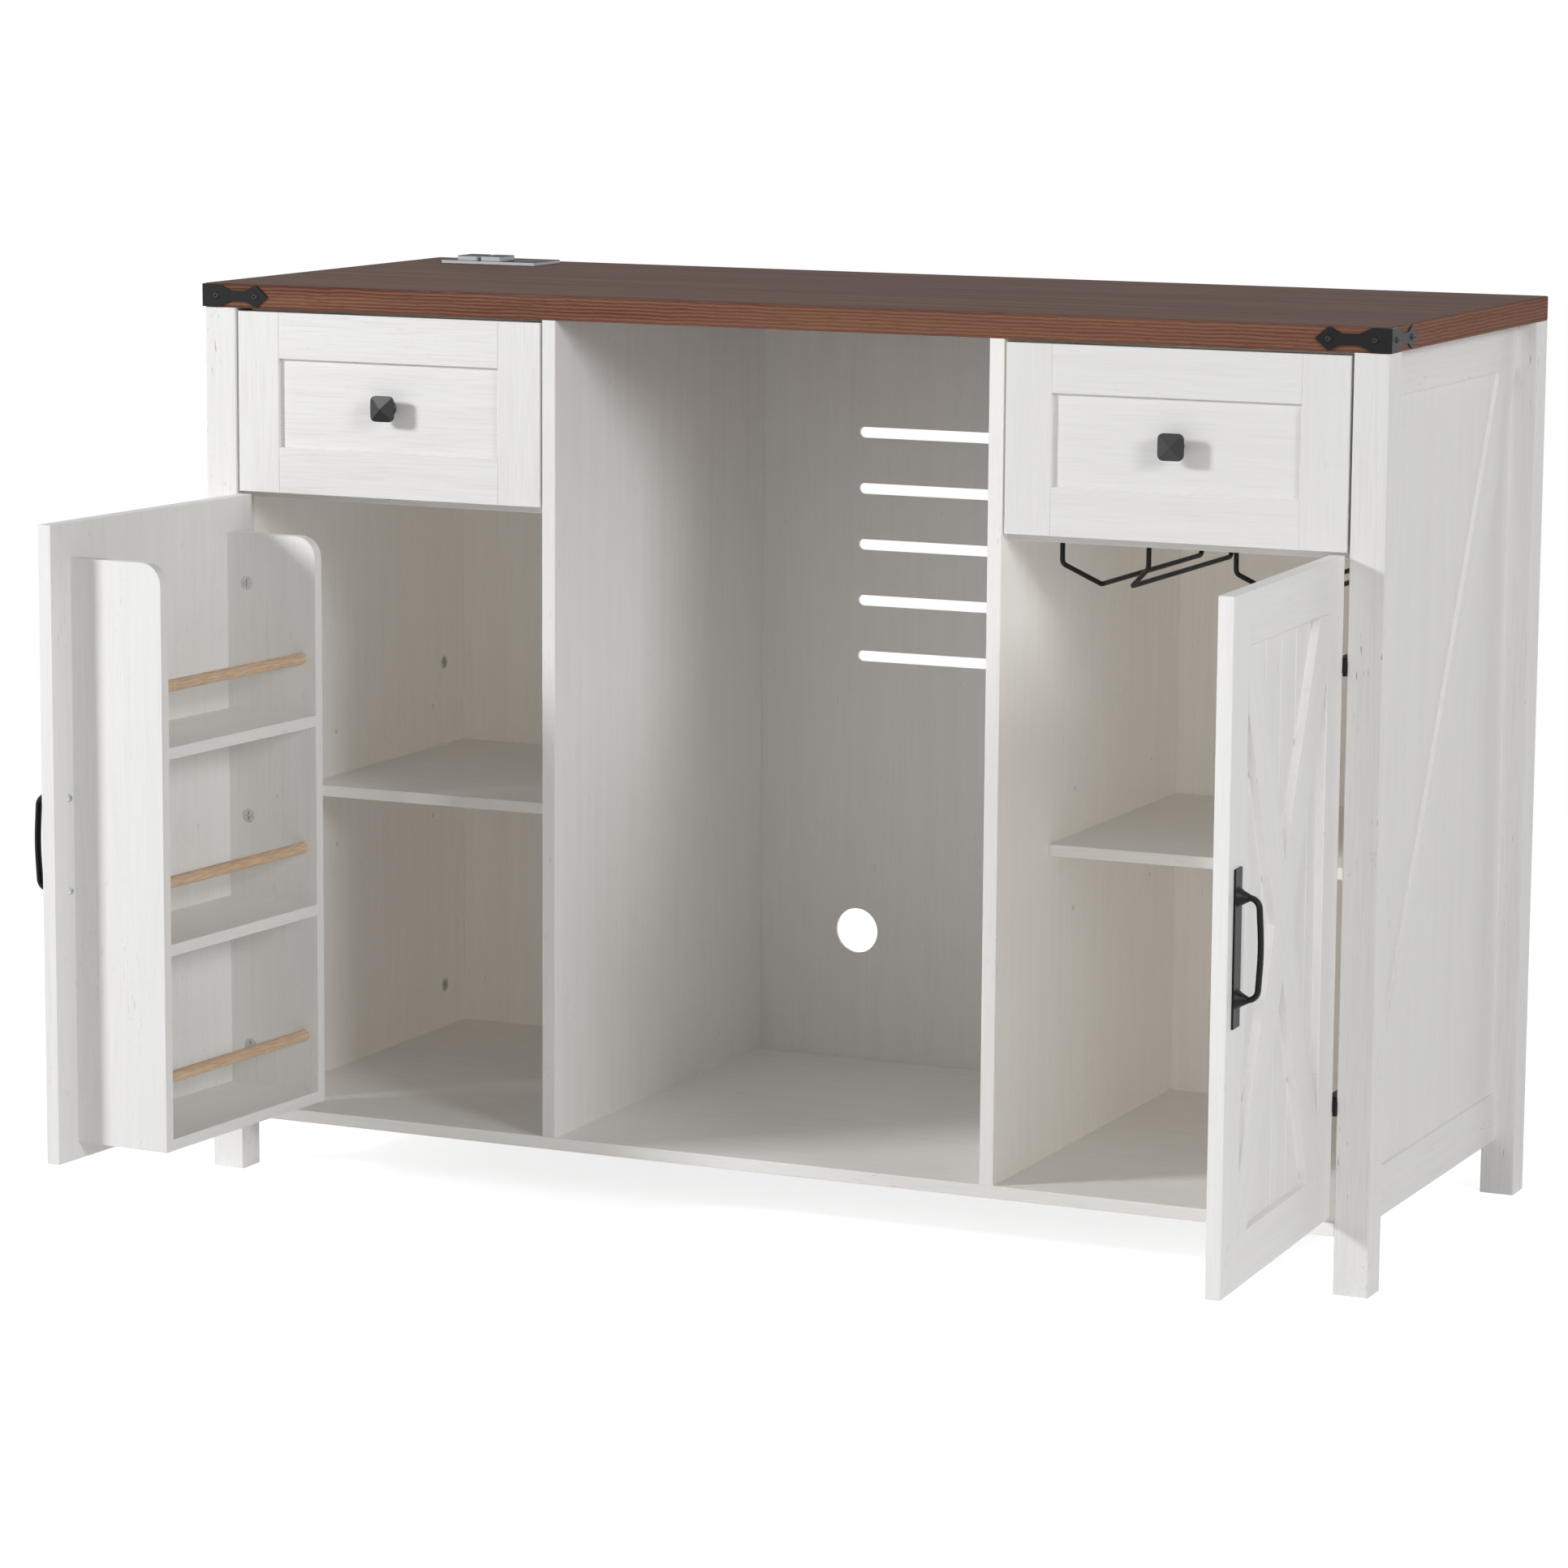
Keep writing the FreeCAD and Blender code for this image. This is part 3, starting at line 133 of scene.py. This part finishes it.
def grain_space(tree, grain, zones=(), pivot=None, turn=0.0):
    """Object coordinates turned so that the grain of each zone lies along Z.

    A zone is a turn, a direction, a middle, a reach and a sense: it covers the points whose length
    along the direction lies beyond the reach from the middle, or within it. A pivot and a turn
    first swing an open door shut.
    """
    place = node(tree, "TexCoord").outputs["Object"]
    if pivot:
        place = node(tree, "Mapping", {"Vector": place, "Location": pivot, "Rotation": (0, 0, turn)},
                     vector_type="TEXTURE").outputs[0]
    result = node(tree, "Mapping", {"Vector": place, "Rotation": grain}).outputs[0]
    for number, (zone_turn, direction, middle, reach, sense) in enumerate(zones, start=1):
        along = node(tree, "VectorMath", {0: place, 1: direction}, operation="DOT_PRODUCT").outputs["Value"]
        offset = node(tree, "Math", {0: along, 1: middle}, operation="SUBTRACT").outputs[0]
        distance = node(tree, "Math", {0: offset}, operation="ABSOLUTE").outputs[0]
        mask = node(tree, "Math", {0: distance, 1: reach}, operation=sense).outputs[0]
        shift = [step * number for step in ZONE_SHIFT]
        turned = node(tree, "Mapping", {"Vector": place, "Rotation": zone_turn, "Location": shift}).outputs[0]
        result = node(tree, "Mix", {0: mask, VECTOR_A: result, VECTOR_B: turned},
                      **MIX_VECTOR).outputs[VECTOR_OUT]
    return result


def stretched(tree, place, size, detail=2.0, roughness=0.5):
    """Noise whose patches have a size across the grain and a size along it, in metres."""
    across, along = size
    scaled = node(tree, "VectorMath", {0: place, 1: (1 / across, 1 / across, 1 / along)},
                  operation="MULTIPLY").outputs[0]
    return node(tree, "TexNoise", {"Vector": scaled, "Scale": 1.0, "Detail": detail,
                                   "Roughness": roughness}).outputs["Fac"]


print("grain runs upright, sideways or rearward, by turns of", round(math.degrees(REARWARD[0])), "degrees")

# %% [markdown]
# ## White pine
# The boards are pine with thin white paint, brushed on and lightly worn. Thin paint lets the grain
# through: close up it shows faint grey streaks along each board, broad pale bands, and short grey
# dashes where the paint has worn off, most of them on the posts. One noise could not give both long
# and short marks, so there are four: streaks of 1.7 by 70 mm, bands of 14 by 500 mm, dashes of 1.3 by
# 14 mm, and patches of 30 by 120 mm inside which the dashes show.

# %% White pine
STREAK = (1.7 * MM, 70 * MM)
BAND = (14 * MM, 500 * MM)
DASH = (1.3 * MM, 14 * MM)
PATCH = (30 * MM, 120 * MM)


def white_pine(pieces, grain=UPRIGHT, zones=(), pivot=None, turn=0.0, wear=0.45, streaks=0.35):
    """Thin brushed paint: a warm white with a dull sheen, streaks, worn dashes and a fine relief."""
    made, tree = material("pine, brushed white paint, " + pieces)
    place = grain_space(tree, grain, zones, pivot, turn)
    streak = stretched(tree, place, STREAK, 3.0, 0.6)
    band = stretched(tree, place, BAND)
    dash = stretched(tree, place, DASH, 1.0)
    patch = stretched(tree, place, PATCH)
    dull = node(tree, "MapRange", {0: streak, 1: 0.48, 2: 0.78, 3: 0.0, 4: streaks}).outputs[0]
    tone = node(tree, "MapRange", {0: band, 1: 0.40, 2: 0.68, 3: 0.0, 4: 0.3}).outputs[0]
    worn = node(tree, "MapRange", {0: dash, 1: 0.70, 2: 0.77, 3: 0.0, 4: wear}).outputs[0]
    where = node(tree, "MapRange", {0: patch, 1: 0.52, 2: 0.66}).outputs[0]
    marks = node(tree, "Math", {0: worn, 1: where}, operation="MULTIPLY").outputs[0]
    plain = node(tree, "Mix", {0: tone, COLOUR_A: light("F2F0EC"), COLOUR_B: light("EAE7E2")},
                 **MIX_COLOUR).outputs[COLOUR_OUT]
    streaked = node(tree, "Mix", {0: dull, COLOUR_A: plain, COLOUR_B: light("E0DCD6")},
                    **MIX_COLOUR).outputs[COLOUR_OUT]
    colour = node(tree, "Mix", {0: marks, COLOUR_A: streaked, COLOUR_B: light("8E8881")},
                  **MIX_COLOUR).outputs[COLOUR_OUT]
    relief = node(tree, "Bump", {"Height": streak, "Strength": 0.25, "Distance": 0.4 * MM}).outputs[0]
    surface(tree, {"Base Color": colour, "Roughness": 0.5, "Normal": relief})
    return made


paint(white_pine("posts", wear=0.95, streaks=0.5),
      ["left_front_post", "left_rear_post", "right_front_post", "right_rear_post"])
paint(white_pine("dividers and backs", wear=0.5, streaks=0.3),
      ["left_divider", "right_divider", "left_back_panel", "centre_back_panel", "right_back_panel"])
paint(white_pine("level boards", SIDEWAYS),
      ["bottom_panel", "left_drawer_deck", "right_drawer_deck", "left_shelf", "right_shelf"])
print(len(PAINTED), "pieces painted")

# %% [markdown]
# ## Braced sides
# A side panel is one piece with two level rails, a slanting brace between them and a sunk upright
# field behind. They could be cut apart to get a material each. Zones do it in one material: beyond
# the field's height lie the rails, the points nearer to the middle of the cabinet than the raised
# face are the field, and what is left is the brace.

# %% Braced sides
SIDE_LOW_RAIL = 51 * MM
SIDE_HIGH_RAIL = 47 * MM
SIDE_BRACE_RUN = 56 * MM
FIELD_DEPTH = 2.8 * MM
low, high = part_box("right_side_panel")
field_low = low.z + SIDE_LOW_RAIL
field_high = high.z - SIDE_HIGH_RAIL
field_rise = field_high - field_low
slant = math.atan2(high.y - low.y - SIDE_BRACE_RUN, field_rise)
rails = (REARWARD, ALONG_Z, (field_low + field_high) / 2, field_rise / 2, BEYOND)
field = (UPRIGHT, ALONG_X, 0.0, high.x - FIELD_DEPTH, WITHIN)
paint(white_pine("braced sides", (slant, 0, 0), [rails, field]), ["left_side_panel", "right_side_panel"])
print("side braces lean by", round(math.degrees(slant), 1), "degrees")

# %% [markdown]
# ## Drawers
# A drawer front is a frame of level rails between upright stiles, round a level panel. The four boards
# could be split into pieces, but a zone is enough here too: beyond the panel's width lie the stiles.
# On the left front the grain shows more strongly than on the right one, as two boards of one tree may
# differ.

# %% Drawers
DRAWER_STILE = 48 * MM
for side, streaks in (("left", 0.75), ("right", 0.35)):
    low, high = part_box(f"{side}_drawer_front_frame")
    stiles = (UPRIGHT, ALONG_X, (low.x + high.x) / 2, (high.x - low.x) / 2 - DRAWER_STILE, BEYOND)
    paint(white_pine(f"{side} drawer frame", SIDEWAYS, [stiles], wear=0.25, streaks=streaks),
          [f"{side}_drawer_front_frame"])
    paint(white_pine(f"{side} drawer boards", SIDEWAYS, wear=0.15, streaks=streaks),
          [f"{side}_drawer_front_panel", f"{side}_drawer_back", f"{side}_drawer_bottom"])
    paint(white_pine(f"{side} drawer sides", REARWARD, wear=0.3), [f"{side}_drawer_sides"])
print(len(PAINTED), "pieces painted")

# %% [markdown]
# ## Doors
# The doors have the same frame round grooved upright planks, with an X brace on them. They stand
# open at odd angles, where a zone along X would cut them askew. Each board could have a material of its
# own, but it is simpler to swing the coordinates shut about the hinge, whose place and limits the
# frame's joint gives: X then runs across the door from the hinge. They are the piece's own
# coordinates, so the grain goes with the door when it swings.

# %% Doors
def shut_door(side):
    """Pivot and turn of an open door, and the corners that its frame would have if it were shut.

    Of the hinge's two limits, the one farther from rest is the shut door.
    """
    joint = JOINTS[f"{side}_door_hinge"]
    pivot = (*joint["pos_m"][:2], 0.0)
    turn = -math.radians(max(joint["range_deg"], key=abs))
    mesh = NODES[f"{side}_door_frame"].data
    points = np.empty(3 * len(mesh.vertices), np.float32)
    mesh.vertices.foreach_get("co", points)
    shut = (points.reshape(-1, 3) - pivot) @ np.array(Matrix.Rotation(turn, 3, "Z"))
    return {"pivot": pivot, "turn": turn}, shut.min(0), shut.max(0)


DOOR_FRAME = 50 * MM
DOOR_BRACE_RUN = 26.5 * MM
HUNG = {}
for side in ("left", "right"):
    HUNG[side], low, high = shut_door(side)
    middle, _, level = ((low + high) / 2).tolist()
    width, _, height = (high - low).tolist()
    slope = math.atan2(height - 2 * DOOR_FRAME, width - 2 * DOOR_FRAME)
    lean = slope - math.pi / 2
    across = (math.sin(slope), 0, -math.cos(slope))
    stiles = (UPRIGHT, ALONG_X, middle, width / 2 - DOOR_FRAME, BEYOND)
    rising = ((0, lean, 0), across, middle * across[0] + level * across[2],
              DOOR_BRACE_RUN * math.sin(slope), WITHIN)
    paint(white_pine(f"{side} door planks", **HUNG[side]), [f"{side}_door_panel"])
    paint(white_pine(f"{side} door frame", SIDEWAYS, [stiles], **HUNG[side]), [f"{side}_door_frame"])
    paint(white_pine(f"{side} door brace", (0, -lean, 0), [rising], **HUNG[side]), [f"{side}_door_brace"])
    print(side, "door is", round(width / MM), "by", round(height / MM), "mm")

paint(white_pine("rack boards", **HUNG["left"]), ["rack_near_board", "rack_far_board"])
paint(white_pine("rack shelves", SIDEWAYS, **HUNG["left"]), ["rack_shelves"])

# %% [markdown]
# ## Brown top
# The top is a board in brown foil with rustic grain: a reddish ground under dark lines along its
# length, one every 3.6 mm, which wander and fade in places as year rings do. Noise alone gives
# streaks but no even spacing, and a wave texture alone is too even. So the lines are a sine of the
# distance across the grain, and slow noise shifts its phase. Fine noise adds the pores.

# %% Grain of the top
LINE_SPACING = 3.6 * MM
LINE_WANDER = 7.0
FACE_DEPTH = 0.4 * MM
low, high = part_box("tabletop")
top, tree = material("brown foil with rustic grain, satin lacquer")
ends = (REARWARD, ALONG_X, 0.0, high.x - FACE_DEPTH, BEYOND)
place = grain_space(tree, SIDEWAYS, [ends])
wander = stretched(tree, place, (20 * MM, 50 * MM), 4.0, 0.6)
broad = stretched(tree, place, (12 * MM, 420 * MM))
pore = stretched(tree, place, (1.1 * MM, 18 * MM))
across = node(tree, "VectorMath", {0: place, 1: (1, 1, 0)}, operation="DOT_PRODUCT").outputs["Value"]
shift = node(tree, "Math", {0: wander, 1: LINE_WANDER}, operation="MULTIPLY").outputs[0]
phase = node(tree, "Math", {0: across, 1: 2 * math.pi / LINE_SPACING, 2: shift},
             operation="MULTIPLY_ADD").outputs[0]
line = node(tree, "Math", {0: phase}, operation="SINE").outputs[0]
ground = node(tree, "MapRange", {0: broad, 1: 0.33, 2: 0.67}).outputs[0]
depth = node(tree, "MapRange", {0: broad, 1: 0.35, 2: 0.60, 3: 1.0, 4: 0.55}).outputs[0]
vein = node(tree, "MapRange", {0: line, 1: -0.7, 2: 0.9, 3: 0.0, 4: depth}).outputs[0]
pit = node(tree, "MapRange", {0: pore, 1: 0.58, 2: 0.70, 3: 0.0, 4: 0.4}).outputs[0]
print("about", round((high.y - low.y) / LINE_SPACING), "dark lines across the top")

# %% [markdown]
# The edges carry a band of the same pattern, redder and lighter than the face, and on the ends it
# runs front to rear. The face's colours are painted darker and greyer than the bands'. This is a painted
# sheen that stands in for the lacquer's grey gleam, and painted shade that darkens the face, which the
# lamps above light most. A second material would need the face cut from the board, so the height
# above the floor tells the face from the bands. The lacquer itself is satin: broad, weak reflections
# that hardly lighten the brown.

# %% Colours of the top
banded = node(tree, "Mix", {0: ground, COLOUR_A: light("815846"), COLOUR_B: light("8F6551")},
              **MIX_COLOUR).outputs[COLOUR_OUT]
edge = node(tree, "Mix", {0: vein, COLOUR_A: banded, COLOUR_B: light("5C3B2D")},
            **MIX_COLOUR).outputs[COLOUR_OUT]
# The face's ground and lines are painted darker and greyer than the bands': painted sheen and painted shade.
streaked = node(tree, "Mix", {0: ground, COLOUR_A: light("5A423A"), COLOUR_B: light("745649")},
                **MIX_COLOUR).outputs[COLOUR_OUT]
face = node(tree, "Mix", {0: vein, COLOUR_A: streaked, COLOUR_B: light("4E372F")},
            **MIX_COLOUR).outputs[COLOUR_OUT]
height = node(tree, "SeparateXYZ", {0: node(tree, "TexCoord").outputs["Object"]}).outputs["Z"]
# Above this height lies the face, which takes the colours with the painted sheen and shade.
sheen_and_shade_mask = node(tree, "Math", {0: height, 1: high.z - FACE_DEPTH}, operation="GREATER_THAN").outputs[0]
veined = node(tree, "Mix", {0: sheen_and_shade_mask, COLOUR_A: edge, COLOUR_B: face}, **MIX_COLOUR).outputs[COLOUR_OUT]
colour = node(tree, "Mix", {0: pit, COLOUR_A: veined, COLOUR_B: light("4A2D21")},
              **MIX_COLOUR).outputs[COLOUR_OUT]
relief = node(tree, "Bump", {"Height": pore, "Strength": 0.3, "Distance": 0.3 * MM}).outputs[0]
surface(tree, {"Base Color": colour, "Roughness": 0.62, "Specular IOR Level": 0.05, "Normal": relief})
paint(top, ["tabletop"])
print(len(tree.nodes), "nodes in the finish of the top")

# %% [markdown]
# ## Metal
# Straps, handles, hinge arms and wires are forged iron with a thick matt coat. Knobs and strap
# screws are cast smoother and have a satin coat. Cam locks, bolts, pins and hinge cups are plated
# with zinc, and the runners are galvanised sheet. All are even finishes with a grain of one size, so
# one function makes them. The real grain of a coat is finer than a pixel, so it is drawn at 1 to 2 mm,
# where it still shows as a slight unevenness of the gleam.

# %% Metal
def coated(name, dark, bright, grit, roughness, metallic=0.0, bump=0.0, specular=0.5):
    """Two shades in grains of one size: coated iron, plated steel, moulded plastic."""
    made, tree = material(name)
    place = node(tree, "TexCoord").outputs["Object"]
    grain = node(tree, "TexNoise", {"Vector": place, "Scale": 1 / grit, "Detail": 2.0}).outputs["Fac"]
    amount = node(tree, "MapRange", {0: grain, 1: 0.35, 2: 0.65}).outputs[0]
    colour = node(tree, "Mix", {0: amount, COLOUR_A: light(dark), COLOUR_B: light(bright)},
                  **MIX_COLOUR).outputs[COLOUR_OUT]
    relief = node(tree, "Bump", {"Height": grain, "Strength": bump, "Distance": 0.2 * MM}).outputs[0]
    surface(tree, {"Base Color": colour, "Roughness": roughness, "Metallic": metallic,
                   "Specular IOR Level": specular, "Normal": relief})
    return made


# The matt coat hides the metal: a soft black with hardly a gleam.
forged = coated("forged iron, matt black coat", "151515", "1E1E1D", 1.2 * MM, 0.40, bump=0.25, specular=0.2)
# The satin coat shows each facet of a knob by its own gleam.
cast = coated("cast iron, satin black coat", "161617", "1D1D1E", 1.6 * MM, 0.36, bump=0.12, specular=0.6)
# Zinc plate is bare metal: pale, and brighter where its crystals lie flat.
plated = coated("steel, zinc plated", "C4C6C6", "D9DBDB", 2.5 * MM, 0.48, 1.0)
# Hot zinc sets in large grey flakes on the sheet.
dipped = coated("steel sheet, galvanised", "9A9C9D", "B4B6B6", 9 * MM, 0.38, 1.0)
paint(forged, ["left_corner_strap", "right_corner_strap", "stemware_wires", "hinge_arms",
               "left_door_handle", "right_door_handle"])
paint(cast, ["strap_screws", "left_drawer_knob", "right_drawer_knob"])
paint(plated, ["shelf_pins", "panel_cams", "rack_cams", "left_handle_bolts", "right_handle_bolts",
               "left_hinge_cups", "right_hinge_cups"])
paint(dipped, ["cabinet_runners", "left_drawer_runners", "right_drawer_runners"])
print(len(PAINTED), "pieces painted")

# %% [markdown]
# ## Outlet
# The outlet in the top is a black moulding. Its plate and its two modules have satin silver edges
# round a black face. The edges could be trims of their own, but they lie flush with the face, so the
# height within the piece tells one from the other, as on the top.

# %% Outlet
def capped(name, level):
    """Moulded plastic, silver below a level and black above it: a thin bright line round a dull face."""
    made, tree = material(name)
    place = node(tree, "TexCoord").outputs["Object"]
    height = node(tree, "SeparateXYZ", {0: place}).outputs["Z"]
    cap = node(tree, "Math", {0: height, 1: level}, operation="GREATER_THAN").outputs[0]
    grain = node(tree, "TexNoise", {"Vector": place, "Scale": 1 / MOULD_GRIT, "Detail": 2.0}).outputs["Fac"]
    silver = node(tree, "Mix", {0: grain, COLOUR_A: light("C4C7CA"), COLOUR_B: light("DADDDF")},
                  **MIX_COLOUR).outputs[COLOUR_OUT]
    black = node(tree, "Mix", {0: grain, COLOUR_A: light("242527"), COLOUR_B: light("313234")},
                 **MIX_COLOUR).outputs[COLOUR_OUT]
    colour = node(tree, "Mix", {0: cap, COLOUR_A: silver, COLOUR_B: black}, **MIX_COLOUR).outputs[COLOUR_OUT]
    surface(tree, {"Base Color": colour, "Roughness": 0.36, "Specular IOR Level": 0.01})
    return made


MOULD_GRIT = 0.9 * MM
for name in ("outlet_plate", "outlet_sockets"):
    paint(capped(f"plastic, silver edge and black face, {name}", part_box(name)[1].z - FACE_DEPTH), [name])
# The housing keeps the fine grit of its mould: an even black with a soft gleam.
paint(coated("plastic, black moulding", "17181A", "1F2022", 0.8 * MM, 0.38, bump=0.15), ["outlet_housing"])
print(len(PAINTED), "pieces painted")

# %% [markdown]
# ## Dowels
# The rails of the spice rack are bare turned hardwood. Without paint the fibres show as fine tan
# streaks of 1.3 by 22 mm. They come from the same stretched noise, laid along the dowels with the
# left door's turn.

# %% Dowels
FIBRE = (1.3 * MM, 22 * MM)
dowel, tree = material("hardwood, turned and bare")
place = grain_space(tree, SIDEWAYS, **HUNG["left"])
fibre = stretched(tree, place, FIBRE, 3.0, 0.6)
amount = node(tree, "MapRange", {0: fibre, 1: 0.35, 2: 0.68}).outputs[0]
colour = node(tree, "Mix", {0: amount, COLOUR_A: light("E2C8AA"), COLOUR_B: light("C79F7C")},
              **MIX_COLOUR).outputs[COLOUR_OUT]
surface(tree, {"Base Color": colour, "Roughness": 0.55})
paint(dowel, ["rack_dowels"])
print(sorted(set(NODES) - PAINTED), "left without a finish")

# %% [markdown]
# ## Lamps
# A small key light stands at the front left and a wide fill at the front right. The deep cupboards
# would then be darker than in a studio photograph. A brighter fill would wash out the fronts, so a
# weak light falls on the cupboards' boards alone and casts no shadow. Another weak light from the front
# draws the relief of the right side and the right door, which the fill meets squarely. A rear light
# serves the views from behind, and stays out of the reflections in the straps.

# %% Lamps
CENTRE = Vector((0.0, 0.0, 0.5))
DAYLIGHT = "F9FBFF"
WARM = "FFF5EA"


def lamp(name, place, power, width, shadow=True, tint=DAYLIGHT):
    """A square soft light that faces the middle of the cabinet, with its power in watts."""
    data = bpy.data.lights.new(name, "AREA")
    data.energy = power
    data.size = width
    data.use_shadow = shadow
    data.color = light(tint)[:3]
    made = bpy.data.objects.new(name, data)
    bpy.context.scene.collection.objects.link(made)
    facing = (CENTRE - Vector(place)).to_track_quat("-Z", "Y")
    made.matrix_world = Matrix.Translation(place) @ facing.to_matrix().to_4x4()
    return made


lamp("key_light", (-3.9, -3.4, 2.5), 183, 0.8)
lamp("fill_light", (5.0, -3.0, 2.6), 126, 1.6)
rear = lamp("rear_light", (1.8, 4.8, 1.2), 64, 2.0)
rear.visible_glossy = False
front = lamp("front_light", (1.3, -5.2, 1.6), 40, 1.0)
lifting = lamp("lifting_light", (4.0, -4.0, 1.5), 48, 1.0, shadow=False, tint=WARM)
RECEIVERS = {
    lifting: ["left_side_panel", "left_back_panel", "left_rear_post", "left_shelf", "right_divider",
              "right_back_panel", "right_shelf", "bottom_panel"],
    front: ["right_side_panel", "right_door_panel", "right_door_frame", "right_door_brace"],
}
for source, names in RECEIVERS.items():
    lit = bpy.data.collections.new(source.name + "_pieces")
    for name in names:
        lit.objects.link(NODES[name])
    source.light_linking.receiver_collection = lit
    print(source.name, "falls on", len(names), "pieces")

# %% [markdown]
# ## Room and floor
# The background is white, but a white room would flood the cabinet with light and flatten it. The
# light path tells the rays that show the room, straight or in a reflection, from those that carry
# its light: the first see full white, the others a weak even light. The floor works the same way.
# It is a pale matt plane with a glow that only such rays see, so it keeps the soft shadow, and away
# from the cabinet it fades into the white of the room.

# %% Room and floor
ROOM_LIGHT = 0.16
FLOOR_GLOW = 0.75
FLOOR_REACH = 30.0
FADE_START, FADE_END = 1.2, 2.6


def shown(tree):
    """One for rays that show a thing, straight, mirrored or through glass, and nought for the rest."""
    rays = node(tree, "LightPath").outputs
    seen = node(tree, "Math", {0: rays["Is Camera Ray"], 1: rays["Is Glossy Ray"]},
                operation="MAXIMUM").outputs[0]
    return node(tree, "Math", {0: seen, 1: rays["Is Transmission Ray"]}, operation="MAXIMUM").outputs[0]


world = bpy.data.worlds.new("white_room")
bpy.context.scene.world = world
world.use_nodes = True
tree = world.node_tree
tree.nodes.clear()
strength = node(tree, "MapRange", {0: shown(tree), 3: ROOM_LIGHT, 4: 1.0}).outputs[0]
room = node(tree, "Background", {"Color": light("FFFFFF"), "Strength": strength}).outputs[0]
node(tree, "OutputWorld", {"Surface": room})

corners = [(x * FLOOR_REACH, y * FLOOR_REACH, 0.0) for x, y in ((-1, -1), (1, -1), (1, 1), (-1, 1))]
plane = bpy.data.meshes.new("floor")
plane.from_pydata(corners, [], [(0, 1, 2, 3)])
floor = bpy.data.objects.new("floor", plane)
bpy.context.scene.collection.objects.link(floor)
finish, tree = material("studio floor, matt white")
seen = shown(tree)
glow = node(tree, "Math", {0: seen, 1: FLOOR_GLOW}, operation="MULTIPLY").outputs[0]
matt = node(tree, "BsdfDiffuse", {"Color": light("EDEDED")}).outputs[0]
lift = node(tree, "Emission", {"Color": light("FFFFFF"), "Strength": glow}).outputs[0]
near = node(tree, "AddShader", {0: matt, 1: lift}).outputs[0]
white = node(tree, "Emission", {"Color": light("FFFFFF"), "Strength": 1.0}).outputs[0]
away = node(tree, "VectorMath", {0: node(tree, "TexCoord").outputs["Object"]},
            operation="LENGTH").outputs["Value"]
far = node(tree, "MapRange", {0: away, 1: FADE_START, 2: FADE_END}).outputs[0]
fade = node(tree, "Math", {0: far, 1: seen}, operation="MULTIPLY").outputs[0]
blend = node(tree, "MixShader", {0: fade, 1: near, 2: white}).outputs[0]
node(tree, "OutputMaterial", {"Surface": blend})
plane.materials.append(finish)
print("floor of", 2 * FLOOR_REACH, "m, white from", FADE_END, "m on")

# %% [markdown]
# ## Camera
# A long lens looks from the front right, a little above the top. The place, the three angles and the
# lens could be set by eye, but they come from fitting the corners of the carcass to the photograph.
# From the angles follow the three axes of the camera, which its matrix holds as columns.

# %% Camera
YAW, PITCH, ROLL = 0.4269, 0.1574, 0.0069
STAND = (2.2204, -5.0948, 1.3034)
SENSOR_MM = 36
LENS_MM = 123.16
forward = Vector((-math.sin(YAW) * math.cos(PITCH), math.cos(YAW) * math.cos(PITCH), -math.sin(PITCH)))
right = Vector((math.cos(YAW), math.sin(YAW), 0))
up = right.cross(forward)
right, up = right * math.cos(ROLL) + up * math.sin(ROLL), up * math.cos(ROLL) - right * math.sin(ROLL)
lens = bpy.data.cameras.new("camera")
lens.sensor_width = SENSOR_MM
lens.lens = LENS_MM
camera = bpy.data.objects.new("camera", lens)
bpy.context.scene.collection.objects.link(camera)
axes = Matrix((right, up, -forward)).transposed().to_4x4()
camera.matrix_world = Matrix.Translation(STAND) @ axes
bpy.context.scene.camera = camera
bpy.context.scene.view_settings.view_transform = "Standard"
print("camera stands", round((Vector(STAND) - CENTRE).length, 2), "m from the middle of the cabinet")
